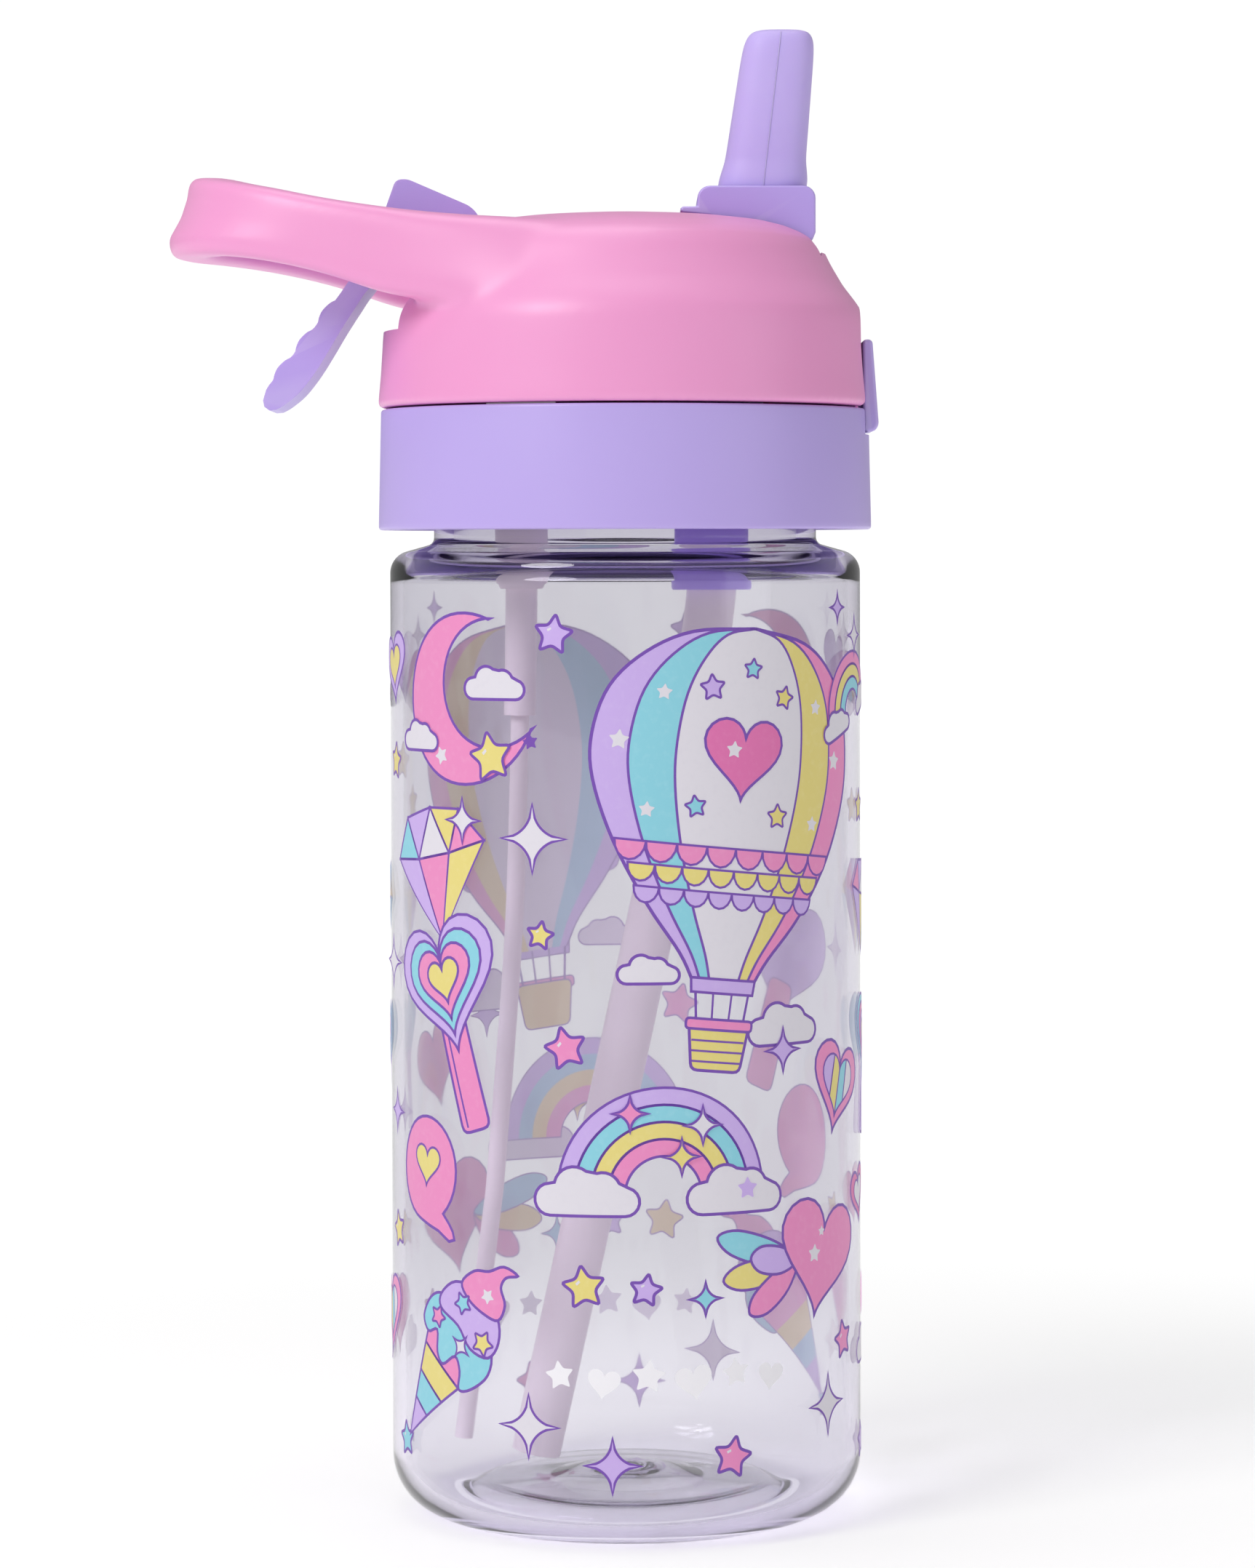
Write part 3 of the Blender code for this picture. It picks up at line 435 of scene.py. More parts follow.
def fromBmesh(name, bm, material=None):
    mesh = bpy.data.meshes.new(name)
    bm.to_mesh(mesh)
    bm.free()
    return addObject(name, mesh, material)


# the mesh with its modifiers worked in
def applied(obj):
    bpy.context.view_layer.update()
    return bpy.data.meshes.new_from_object(obj.evaluated_get(bpy.context.evaluated_depsgraph_get()))


# applies the modifiers, makes a curve a mesh, and shades round faces smooth
def settle(obj, angle=35, weighted=False):
    mesh = applied(obj)
    if obj.type == "CURVE":
        kept = bpy.data.objects.new(obj.name, mesh)
        bpy.context.scene.collection.objects.link(kept)
        kept.matrix_world = obj.matrix_world
        label = obj.name
        bpy.data.objects.remove(obj)
        kept.name = label
        obj = kept
    else:
        obj.modifiers.clear()
        obj.data = mesh
    mesh.name = obj.name
    mesh.shade_smooth()
    mesh.set_sharp_from_angle(angle=math.radians(angle))
    if weighted:  # flat faces stay flat beside their rounded edges
        obj.modifiers.new("weighted", "WEIGHTED_NORMAL").keep_sharp = True
        obj.data = applied(obj)
        obj.modifiers.clear()
        obj.data.name = obj.name
    return obj


# closed joins the outline's two ends; without it both ends lie on the axis
# turns an (r, z) outline in millimetres that runs down its outer side
def lathe(name, profile, material=None, centreX=0.0, steps=128, closed=True):
    mesh = bpy.data.meshes.new(name)
    edges = [(i, i + 1) for i in range(len(profile) - 1)]
    if closed:
        edges.append((len(profile) - 1, 0))
    mesh.from_pydata([(r * mm, 0, z * mm) for r, z in profile], edges, [])
    obj = addObject(name, mesh, material)
    obj.location.x = (axisX + centreX) * mm
    screw = obj.modifiers.new("turn", "SCREW")
    screw.axis = "Z"
    screw.steps = screw.render_steps = steps
    screw.use_merge_vertices = True
    screw.merge_threshold = 0.000005
    return obj


def arc(r, z, radius, start, end, steps=8):
    turns = [math.radians(start + (end - start) * i / steps) for i in range(steps + 1)]
    return [(r + radius * math.cos(t), z + radius * math.sin(t)) for t in turns]


# rounds each corner of a closed outline of 2D points
def roundCorners(outline, radius, steps=5):
    rounded = []
    for i, corner in enumerate(outline):
        here, before = Vector(corner), Vector(outline[i - 1])
        after = Vector(outline[(i + 1) % len(outline)])
        back, ahead = before - here, after - here
        reach = min(radius, back.length * 0.48, ahead.length * 0.48)
        start, end = here + back.normalized() * reach, here + ahead.normalized() * reach
        for k in range(steps + 1):
            t = k / steps
            rounded.append((1 - t) ** 2 * start + 2 * t * (1 - t) * here + t * t * end)
    return [(p.x, p.y) for p in rounded]


# a Catmull-Rom line through 2D or 3D points
def smoothLine(points, perSpan=6, loop=False):
    known = [Vector(p) for p in points]
    if loop:
        run = [known[-1]] + known + known[:2]
    else:
        run = [2 * known[0] - known[1]] + known + [2 * known[-1] - known[-2]]
    line = []
    for i in range(1, len(run) - 2):
        a, b, c, d = run[i - 1:i + 3]
        for k in range(perSpan):
            t = k / perSpan
            line.append(0.5 * (2 * b + (c - a) * t + (2 * a - 5 * b + 4 * c - d) * t * t
                               + (3 * b - a - 3 * c + d) * t ** 3))
    if not loop:
        line.append(run[-2])
    return line


# a flat (x, z) outline with thickness along Y, as one closed mesh
def sidePlate(name, outline, halfY, material=None):
    bm = bmesh.new()
    verts = [bm.verts.new((x * mm, -halfY * mm, z * mm)) for x, z in outline]
    face = bm.faces.new(verts)
    grown = bmesh.ops.extrude_face_region(bm, geom=[face])
    moved = [v for v in grown["geom"] if isinstance(v, bmesh.types.BMVert)]
    bmesh.ops.translate(bm, verts=moved, vec=(0, 2 * halfY * mm, 0))
    bmesh.ops.recalc_face_normals(bm, faces=bm.faces)
    return fromBmesh(name, bm, material)


def boxAt(name, low, high):
    bm = bmesh.new()
    bmesh.ops.create_cube(bm, size=1.0)
    for v in bm.verts:
        v.co = Vector((low[i] if v.co[i] < 0 else high[i]) * mm for i in range(3))
    return fromBmesh(name, bm)


def rodAt(name, start, end, radius):
    start, end = Vector(start), Vector(end)
    bm = bmesh.new()
    bmesh.ops.create_cone(bm, cap_ends=True, segments=48, radius1=radius * mm, radius2=radius * mm,
                          depth=(end - start).length * mm)
    bmesh.ops.rotate(bm, verts=bm.verts, cent=(0, 0, 0),
                     matrix=(end - start).to_track_quat("Z", "Y").to_matrix())
    bmesh.ops.translate(bm, verts=bm.verts, vec=(start + end) / 2 * mm)
    return fromBmesh(name, bm)


def rodAcross(name, pivot, fromY, toY, radius):
    return rodAt(name, (pivot[0], fromY, pivot[2]), (pivot[0], toY, pivot[2]), radius)


# cuts or joins, and clears the cutters away
def carve(obj, *cutters, operation="DIFFERENCE"):
    for cutter in cutters:
        step = obj.modifiers.new("cut", "BOOLEAN")
        step.operation = operation
        step.solver = "EXACT"
        step.object = cutter
    mesh = applied(obj)
    obj.modifiers.clear()
    obj.data = mesh
    for cutter in cutters:
        bpy.data.objects.remove(cutter)
    return obj


# a unit ring between a circle, at 1, and a square, at 0
def squarish(count, squareness):
    ring = []
    for k in range(count):
        turn = 2 * math.pi * k / count
        c, s = math.cos(turn), math.sin(turn)
        ring.append((math.copysign(abs(c) ** squareness, c), math.copysign(abs(s) ** squareness, s)))
    return ring


def bevelEdges(obj, width, segments, angle):
    bevel = obj.modifiers.new("edges", "BEVEL")
    bevel.width = width * mm
    bevel.segments = segments
    bevel.limit_method = "ANGLE"
    bevel.angle_limit = math.radians(angle)


# skins rows of points in millimetres and closes both ends
def skin(name, rings, material=None):
    bm = bmesh.new()
    rows = [[bm.verts.new(Vector(p) * mm) for p in ring] for ring in rings]
    count = len(rows[0])
    for here, there in zip(rows, rows[1:]):
        for i in range(count):
            j = (i + 1) % count
            bm.faces.new((here[i], here[j], there[j], there[i]))
    bm.faces.new(rows[0])
    bm.faces.new(rows[-1])
    bmesh.ops.recalc_face_normals(bm, faces=bm.faces)
    return fromBmesh(name, bm, material)


def tube(name, path, radius, wall, material, resolution=8):
    curve = bpy.data.curves.new(name, "CURVE")
    curve.dimensions = "3D"
    curve.bevel_depth = radius * mm
    curve.bevel_resolution = resolution
    spline = curve.splines.new("POLY")
    spline.points.add(len(path) - 1)
    for point, co in zip(spline.points, path):
        point.co = (*(Vector(co) * mm), 1)
    obj = addObject(name, curve, material)
    if wall:
        thick = obj.modifiers.new("wall", "SOLIDIFY")
        thick.thickness = wall * mm
        thick.offset = -1
    else:
        curve.use_fill_caps = True
    return settle(obj)


def rideAs(obj, body, slot, *nodes):
    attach(obj, body)
    if nodes:
        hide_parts(*nodes)
    return obj


bottleShape = {
    "wall": 2.0, "cornerRadius": 9.5, "beadRadius": 30.9, "neckRadius": 29.9, "boreRadius": 27.8,
    "shoulderTop": 156.5, "shoulderRadius": 3.6, "threadStart": 162.6, "crestRadius": 31.4,
    "floorInside": [(0, 7.6), (3, 7.5), (6, 7.1), (8.6, 6.4), (10.7, 5.8), (12.6, 5.4), (22, 5.1), (24.4, 4.2),
                    (26.2, 3.0)],
    "floorUnder": [(24.6, 1.2), (23.2, 2.0), (21.8, 2.5), (12.6, 3.0), (11.2, 3.3), (9.6, 3.9), (6.4, 4.8),
                   (4.4, 5.1), (3.7, 4.9), (3.3, 4.3), (2.6, 4.1), (2.0, 4.4), (1.6, 4.9), (0, 5.0)],
}
threadShape = {"pitch": 4.0, "turns": 2, "perTurn": 96, "fadeIn": 16, "halfFoot": 1.0, "halfCrest": 0.5}


# a ridge up a helix that grows out of the wall and fades back into it
def screwThread(name, startZ, root, tipFrom, tipTo, material):
    t = threadShape
    count = t["turns"] * t["perTurn"]
    rings = []
    for i in range(count + 1):
        turn = 2 * math.pi * i / t["perTurn"]
        z = startZ + t["pitch"] * i / t["perTurn"]
        tip = tipFrom + (tipTo - tipFrom) * min(1.0, i / t["fadeIn"], (count - i) / t["fadeIn"])
        section = ((root, -t["halfFoot"]), (tip, -t["halfCrest"]), (tip, t["halfCrest"]), (root, t["halfFoot"]))
        rings.append([(axisX + r * math.cos(turn), r * math.sin(turn), z + dz) for r, dz in section])
    return settle(skin(name, rings, material))


def makeBottle(material):
    s = bottleShape
    inner = bodyRadius - s["wall"]
    top, bore, neck, bead, corner = (s[k] for k in ("shoulderTop", "boreRadius", "neckRadius", "beadRadius",
                                                    "cornerRadius"))
    inside = s["floorInside"] + arc(28.5, 10.0, inner - 28.5, -86, 0, 10)
    inside += [(inner, 40), (inner, 80), (inner, 120)]
    inside += arc(inner - 3.2, top - 6.2, 3.2, 0, 74, 8)
    inside += [(31.6, top - 2.5), (30.2, top - 1.9)] + arc(29.8, top + 0.9, 2.0, 255, 180, 5)
    inside += [(bore, rimZ - 0.6)] + arc(bore + 0.6, rimZ - 0.6, 0.6, 180, 90, 4)
    outside = arc(neck - 0.6, rimZ - 0.6, 0.6, 90, 0, 4)
    outside += [(neck, 160.6)] + arc(neck + 0.6, 160.4, 0.6, 180, 250, 3)
    outside += arc(bead - 0.6, 159.1, 0.6, 70, 0, 4)
    outside += arc(bead + 1.3, top + 1.2, 1.3, 180, 260, 6)
    outside += arc(bodyRadius - s["shoulderRadius"], top - 4.5, s["shoulderRadius"], 77, 0, 12)
    outside += [(bodyRadius, 120), (bodyRadius, 80), (bodyRadius, 40)]
    outside += arc(bodyRadius - corner, corner, corner, 0, -90, 14)
    outside += [(27.4, 0.0)] + arc(26.9, 1.0, 1.0, 270, 205, 4) + s["floorUnder"]
    body = settle(lathe("clearBody", inside + outside, material, steps=192, closed=False), 50)
    thread = screwThread("neckThread", s["threadStart"], neck - 0.3, neck + 0.1, s["crestRadius"], material)
    rideAs(body, "bottle", "bottle_body", "bottle_body")
    rideAs(thread, "bottle", "bottle_body")


capShape = {
    "topRadius": 39.4, "footRadius": 39.8, "deckUnder": 175.5, "threadStart": 164.6, "threadCrest": 30.5,
    "strawPort": 7.2, "ventPort": 4.6,
    "buttonNotch": [(35.2, 174.1), (42, 174.1), (42, 182), (35.2, 182)], "notchHalf": 8.7,
}


def makeCollar(material):
    top, foot, under = capShape["topRadius"], capShape["footRadius"], capShape["deckUnder"]
    profile = [(0, deckTop), (30, deckTop)] + arc(top - 0.5, deckTop - 0.5, 0.5, 90, 0, 4)
    profile += [(foot, collarFoot + 1.2)] + arc(foot - 0.5, collarFoot + 0.5, 0.5, 0, -90, 4)
    profile += [(foot - 1.5, collarFoot), (37.9, collarFoot + 0.5), (37.6, under), (34.4, under), (34.2, 161.4)]
    profile += [(33.6, 160.4), (32.5, 160.4), (32.0, 161.2), (32.0, under), (0, under)]
    collar = lathe("capCollar", profile, material, steps=160, closed=False)
    notch = sidePlate("notch", roundCorners(capShape["buttonNotch"], 0.6), capShape["notchHalf"])
    carve(collar, rodAt("strawPort", (strawX, 0, 170), (strawX, 0, 185), capShape["strawPort"]),
          rodAt("ventPort", (ventX, 0, 170), (ventX, 0, 185), capShape["ventPort"]), notch)
    thread = screwThread("capThread", capShape["threadStart"], 32.3, 31.9, capShape["threadCrest"], material)
    rideAs(settle(collar, 32), "cap", "cap_collar", "cap_collar")
    rideAs(thread, "cap", "cap_collar")


loopShape = {  # x, y, top, foot, half thickness and inward lean along the near arm, then the tip
    "arm": [(3, -20.5, 206.6, 195.4, 4.8, 4.6), (-6, -25.6, 207.2, 194.9, 5.0, 4.2),
            (-16, -25.0, 207.9, 194.3, 5.0, 2.8), (-26, -23.4, 208.5, 194.3, 4.9, 1.4),
            (-36.8, -21.4, 209.6, 196.0, 4.6, 0.6), (-46.8, -19.5, 211.2, 199.2, 4.4, 0.4),
            (-55.4, -17.3, 213.0, 201.3, 4.2, 0.7), (-62.4, -13.4, 214.4, 202.4, 4.0, 1.2),
            (-66.8, -7.1, 215.4, 202.6, 3.8, 1.5)],
    "tip": (-68.4, 0.0, 215.8, 202.7, 3.7, 1.5),
    "squareness": 0.42, "flareFrom": -50.0, "flareLength": 12.0,
}
rootShape = {"x": (-38.0, 5.0), "y": 13.0, "z": 191.5, "fade": (7.0, 4.0, 3.0), "factor": 0.6, "passes": 64}


def loopMesh():
    arm = loopShape["arm"]
    stations = arm + [loopShape["tip"]] + [(x, -y, *rest) for x, y, *rest in reversed(arm)]
    dense = smoothLine([Vector(s[:3]) for s in stations], 5)
    extra = smoothLine([Vector(s[3:]) for s in stations], 5)
    rings = []
    for i, (p, e) in enumerate(zip(dense, extra)):
        along = dense[min(i + 1, len(dense) - 1)] - dense[max(i - 1, 0)]
        along.z = 0
        along.normalize()
        across = Vector((along.y, -along.x, 0))
        middle = Vector((p.x, p.y, (p.z + e.x) / 2))
        tall = (p.z - e.x) / 2
        flared = min(1.0, max(0.0, (loopShape["flareFrom"] - p.x) / loopShape["flareLength"]))
        ring = []
        for u, v in squarish(32, loopShape["squareness"]):
            step = min(1.0, max(0.0, v + 0.6))
            lean = (1 - flared) * v + flared * (step * step * (6 - 4 * step) - 1)
            ring.append(middle + across * (u * e.y + e.z * lean) + Vector((0, 0, tall * v)))
        rings.append(ring)
    return skin("loop", rings)


# melts the loop's roots into the dome, most in the middle of the joint
def blendRoots(lid):
    roots = lid.vertex_groups.new(name="roots")
    low, high = rootShape["x"]
    fadeX, fadeY, fadeZ = rootShape["fade"]
    for v in lid.data.vertices:
        inX = min(v.co.x / mm - low, high - v.co.x / mm) / fadeX
        inY = (abs(v.co.y) / mm - rootShape["y"]) / fadeY
        inZ = (v.co.z / mm - rootShape["z"]) / fadeZ
        weight = min(1.0, inX, inY, inZ)
        if weight > 0:
            roots.add([v.index], weight, "REPLACE")
    melt = lid.modifiers.new("melt", "SMOOTH")
    melt.factor = rootShape["factor"]
    melt.iterations = rootShape["passes"]
    melt.vertex_group = "roots"


lidShape = {
    "dome": [(0, 209.8), (10, 209.7), (18, 209.1), (23.5, 208.4), (27, 207.5), (29.4, 206.5), (31.0, 205.5),
             (32.2, 203.9), (33.3, 201.6), (35.3, 198.2), (37.3, 195.6), (38.3, 194.1), (38.8, 192.4),
             (39.05, 189.6), (39.4, 184.0), (39.85, lidFoot + 0.5), (39.5, lidFoot), (0, lidFoot)],
    "hollow": [(0, 207.4), (20, 206.2), (28.5, 204.0), (31.2, 200.6), (33.6, 196.0), (35.6, 192.0),
               (36.3, 189.0), (36.5, lidFoot - 4), (0, lidFoot - 4)],
    "voxel": 0.5, "softPasses": 6, "hingeHole": 1.3, "wallY": 10.8,
    "cuts": {
        "channel": ((-37, -9.3, 189.5), (31.5, 9.3, 240)), "channelLip": ((30, -9.3, 203.2), (34, 9.3, 240)),
        "rearSlot": ((-50, -15, 190.8), (-33, 15, 230)), "buttonWindow": ((33.9, -8.6, 170), (45, 8.6, 189.9)),
        "buttonRecess": ((37.75, -10.3, 170), (45, 10.3, 197)),
        "neckWindow": ((11.4, -4.4, 184.6), (27.4, 4.4, 192)),
    },
}
gussetShape = {
    "profile": [(33.0, 198.4), (36.6, 198.4), (38.2, 196.0), (38.6, 193.0), (38.7, 189.0), (33.0, 189.0)],
    "fadeFrom": -31.0, "fadeLength": 18.0, "pull": 4.5, "frontEnd": -12, "clearOfSlot": 14,
}


# the shoulder under each arm of the loop, which fades into the drum towards the front
def makeGusset():
    g = gussetShape
    gusset = lathe("gusset", g["profile"], None, steps=96)
    for v in gusset.data.vertices:
        fade = min(1.0, max(0.0, (v.co.x / mm - g["fadeFrom"]) / g["fadeLength"]))
        radius = math.hypot(v.co.x, v.co.y)
        if radius > 34 * mm:
            scale = 1 - g["pull"] * mm * fade * fade * (3 - 2 * fade) / radius
            v.co.x, v.co.y = v.co.x * scale, v.co.y * scale
    return carve(gusset, boxAt("gussetSide", (g["frontEnd"], -45, 180), (45, 45, 205)),
                 boxAt("gussetMiddle", (-45, -g["clearOfSlot"], 180), (45, g["clearOfSlot"], 205)))


def makeLid(material):
    lid = lathe("lidMoulding", lidShape["dome"], None, steps=128, closed=False)
    carve(lid, loopMesh(), operation="UNION")
    carve(lid, makeGusset(), operation="UNION")
    grain = lid.modifiers.new("even", "REMESH")
    grain.mode = "VOXEL"
    grain.voxel_size = lidShape["voxel"] * mm
    settle(lid)
    blendRoots(lid)
    soft = lid.modifiers.new("soften", "SMOOTH")
    soft.factor = 0.5
    soft.iterations = lidShape["softPasses"]
    settle(lid)
    lid.vertex_groups.clear()
    hollow = lathe("hollow", lidShape["hollow"], None, steps=96, closed=False)
    carve(hollow, boxAt("channelBox", (-33.8, -11.5, 187.3), (33.7, 11.5, 230)),
          boxAt("rib", (23.4, -7, 180.4), (25.0, 7, 190)))
    wallY, hole = lidShape["wallY"], lidShape["hingeHole"]
    carve(lid, hollow, *[boxAt(name, low, high) for name, (low, high) in lidShape["cuts"].items()],
          rodAcross("spoutHole", spoutPivot, -wallY, wallY, hole),
          rodAcross("leverHole", leverPivot, -wallY, wallY, hole))
    lid.data.materials.clear()
    lid.data.materials.append(material)
    rideAs(settle(lid, 38), "cap", "lid_shell", "lid_shell")


spoutShape = {
    "levels": [  # height, half width, half depth
        (208.6, 6.3, 6.2), (212.4, 6.9, 6.6), (213.6, 7.1, 6.8), (215.0, 7.15, 6.85), (216.4, 6.95, 6.65),
        (218.2, 6.6, 6.3), (220.2, 6.45, 6.2), (224, 6.3, 6.05), (230, 6.05, 5.85), (234.5, 5.85, 5.65),
        (237.0, 5.6, 5.4), (238.3, 5.15, 4.95), (239.0, 4.5, 4.3), (239.3, 3.6, 3.5)],
    "leanFrom": (22.07, 212.2), "leanPerMm": 3.18 / 27.0, "squareness": 0.60, "peak": 0.05, "seam": 0.11,
    "bore": 2.4, "boreFrom": (20.6, 0, 200), "boreTo": (25.9, 0, 245),
    "socket": [(208.2, 6.9, 6.7), (213.2, 7.4, 7.1), (222, 7.6, 7.3)],  # the carrier's hole for it
}


def spoutCentre(z):
    return spoutShape["leanFrom"][0] + (z - spoutShape["leanFrom"][1]) * spoutShape["leanPerMm"]


def spoutRings(levels, peak=0.0):
    rings = []
    for z, halfX, halfY in levels:
        rings.append([(spoutCentre(z) + halfX * u, halfY * (1 + peak * (1 - abs(u))) * v, z)
                      for u, v in squarish(48, spoutShape["squareness"])])
    return rings


def makeSpout(material):
    peak = spoutShape["peak"]
    dense = smoothLine([Vector(level) for level in spoutShape["levels"]], 3)
    spout = skin("softSpout", spoutRings(dense, peak), material)
    carve(spout, rodAt("bore", spoutShape["boreFrom"], spoutShape["boreTo"], spoutShape["bore"]))
    rideAs(settle(spout, 40), "spout", "spout", "spout")
    for side in (-1, 1):  # the mould's parting line
        path = [(spoutCentre(z), side * halfY * (1 + peak), z) for z, _, halfY in dense[3:-4]]
        rideAs(tube("partingLine", path, spoutShape["seam"], 0, material, 2), "spout", "spout")


hingeShape = {"bore": 1.3, "pocket": 3.35, "pocketFrom": -6.2, "past": 12}


# the pin's hole and the pocket for its spring
def hingeCutters(pivot):
    past = hingeShape["past"]
    return (rodAcross("bore", pivot, -past, past, hingeShape["bore"]),
            rodAcross("pocket", pivot, -past, hingeShape["pocketFrom"], hingeShape["pocket"]))


carrierShape = {  # outline from the pin, x then z
    "halfY": 8.6, "edge": 0.6, "corner": 2.0, "drum": 6.2, "top": 6.9, "back": -7.3, "front": 7.6,
    "nose": [(9.6, 1.4), (9.2, 0.4), (8.4, -0.3), (6.1, -1.4)],
    "tab": [(-6.6, 3.6), (-7.2, 4.1), (-11.6, 4.6), (-12.0, 4.9), (-12.0, 5.3), (-11.6, 5.6)],
}


def makeCarrier(material):
    c = carrierShape
    outline = [(-9.3, 5.6)] + arc(c["back"], c["top"], c["corner"], 180, 90, 6)
    outline += arc(c["front"], c["top"], c["corner"], 90, 0, 6) + c["nose"]
    outline += arc(0, 0, c["drum"], -16, -175, 24) + c["tab"]
    placed = [(spoutPivot[0] + x, spoutPivot[2] + z) for x, z in outline]
    carrier = sidePlate("spoutCarrier", placed, c["halfY"], material)
    bevelEdges(carrier, c["edge"], 3, 60)
    carve(carrier, skin("socket", spoutRings(spoutShape["socket"])), *hingeCutters(spoutPivot))
    rideAs(settle(carrier, 30, True), "spout", "spout_carrier", "spout_carrier")


leverShape = {  # x and z on the side of the lever
    "halfY": 8.4, "edge": 0.8, "hub": 5.4,
    "block": [(-38.5, 209.5), (-36.6, 214.9), (-34.8, 215.1), (-24.4, 210.6), (-22.9, 208.6), (-22.2, 201.4),
              (-23.6, 199.0)],
    "under": [(-33.4, 197.0), (-38.6, 199.4), (-41.2, 197.2), (-43.2, 194.3), (-45.4, 190.9), (-47.3, 187.7),
              (-49.5, 184.2), (-52.0, 181.0), (-54.4, 179.0), (-55.8, 178.2)],
    "tip": [(-56.9, 178.1), (-57.7, 178.7), (-57.9, 179.7), (-57.4, 181.4)],
    "front": [(-45.4, 196.9), (-43.4, 199.8), (-41.3, 203.4), (-39.6, 207.0)],
    "ridgesFrom": (-56.9, 182.2), "ridgeAlong": (0.618, 0.786), "ridgesAt": (3.2, 8.9, 14.8),
    "ridge": [(-2.2, 0.0), (-1.4, 0.35), (-0.2, 0.62), (1.4, 0.42), (2.4, 0.0)],
}


def makeLever(material):
    shape = leverShape
    (startX, startZ), (alongX, alongZ) = shape["ridgesFrom"], shape["ridgeAlong"]
    wave = [(0.0, 0.0)] + [(at + s, h) for at in shape["ridgesAt"] for s, h in shape["ridge"]]
    ridges = smoothLine([(startX + alongX * s - alongZ * h, startZ + alongZ * s + alongX * h) for s, h in wave], 3)
    outline = roundCorners(shape["block"], 1.3, 4)[4:]
    outline += arc(leverPivot[0], leverPivot[2], shape["hub"], 10, -140, 22)
    outline += smoothLine(shape["under"], 4) + shape["tip"] + ridges + shape["front"]
    lever = sidePlate("thumbLever", [(p[0], p[1]) for p in outline], shape["halfY"], material)
    bevelEdges(lever, shape["edge"], 3, 60)
    carve(lever, *hingeCutters(leverPivot))
    rideAs(settle(lever, 40, True), "lever", "rear_lever", "rear_lever")


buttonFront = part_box("latch_button")[1].x / mm
buttonShape = {
    "face": [(38.1, 189.3), (39.7, 189.3), (buttonFront, 175.6), (40.1, 174.6), (38.1, 174.6)],
    "halfY": 8.2, "corner": 1.5, "edge": 0.8, "stem": ((30.0, -4, 181), (39.1, 4, 186)),
}


def makeButton(material):
    face = roundCorners(buttonShape["face"], buttonShape["corner"])
    button = sidePlate("latchButton", face, buttonShape["halfY"], material)
    bevelEdges(button, buttonShape["edge"], 4, 50)
    carve(button, boxAt("stem", *buttonShape["stem"]), operation="UNION")
    rideAs(settle(button, 40, True), "latch", "latch_button", "latch_button")


insideShape = {  # paths down the middle of each tube, x then z; outlines of the turned pieces, r then z
    "straw": [(strawX, 157.4), (strawX, 149.2), (10.6, 126.0), (4.6, 97.7), (-4.0, 58.0), (-10.6, 28.0),
              (-14.8, 9.0)],
    "vent": [(ventX, 150.0), (-17.1, 129.0), (-17.5, 112.0), (-18.4, 90.6), (-21.0, 56.9), (-22.2, 45.7),
             (-26.6, 11.4)],
    "sleeve": [(ventX, 158.0), (ventX, 150.0), (-16.9, 140.0), (-17.1, 129.0)],
    "nipple": [(5.6, 179.8), (5.6, 178.6), (4.3, 178.6), (4.3, 156.8), (4.25, 153.0), (4.05, 151.2), (3.6, 149.9),
               (3.4, 149.6), (2.9, 149.6), (2.9, 158.4), (1.5, 159.0), (1.5, 179.8)],
    "spigot": [(4.4, 180.8), (4.4, 174.8), (6.0, 174.8), (6.0, 153.6), (6.1, 153.4), (6.4, 153.2), (6.5, 152.8),
               (6.5, 149.8), (6.3, 149.4), (4.3, 149.4), (4.3, 158.0), (2.7, 158.6), (2.7, 180.8)],
}


def makeInsideParts(soft, rigid):
    tubes = (("drinkingStraw", "straw", 12, 4.0, 1.2, 8, "drinking_straw"),
             ("ventTube", "vent", 10, 1.5, 0.5, 5, "vent_tube"),
             ("ventSleeve", "sleeve", 8, 2.6, 0.7, 6, "vent_sleeve"))
    for name, path, perSpan, radius, wall, resolution, stands in tubes:
        line = smoothLine([(x, 0, z) for x, z in insideShape[path]], perSpan)
        rideAs(tube(name, line, radius, wall, soft, resolution), "cap", stands, stands)
    turned = (("ventNipple", "nipple", soft, ventX, 48, "vent_nipple"),
              ("strawConnector", "spigot", rigid, strawX, 64, "straw_connector"))
    for name, outline, material, centreX, steps, stands in turned:
        rideAs(settle(lathe(name, insideShape[outline], material, centreX, steps), 30), "cap", stands, stands)


# the print is drawn flat in millimetres and wrapped round the wall; lift is its height off the wall
printSetup = {"lift": 0.04, "layerLift": 0.009, "cell": 1.2, "lineScale": 1.15, "layersEach": 12}
inkShapes = {}
stacking = {"base": 0}  # raised for a motif that overlaps an earlier one


def fill(ink, points, layer):
    inkShapes.setdefault(ink, []).append(([(p[0], p[1]) for p in points], layer + stacking["base"]))


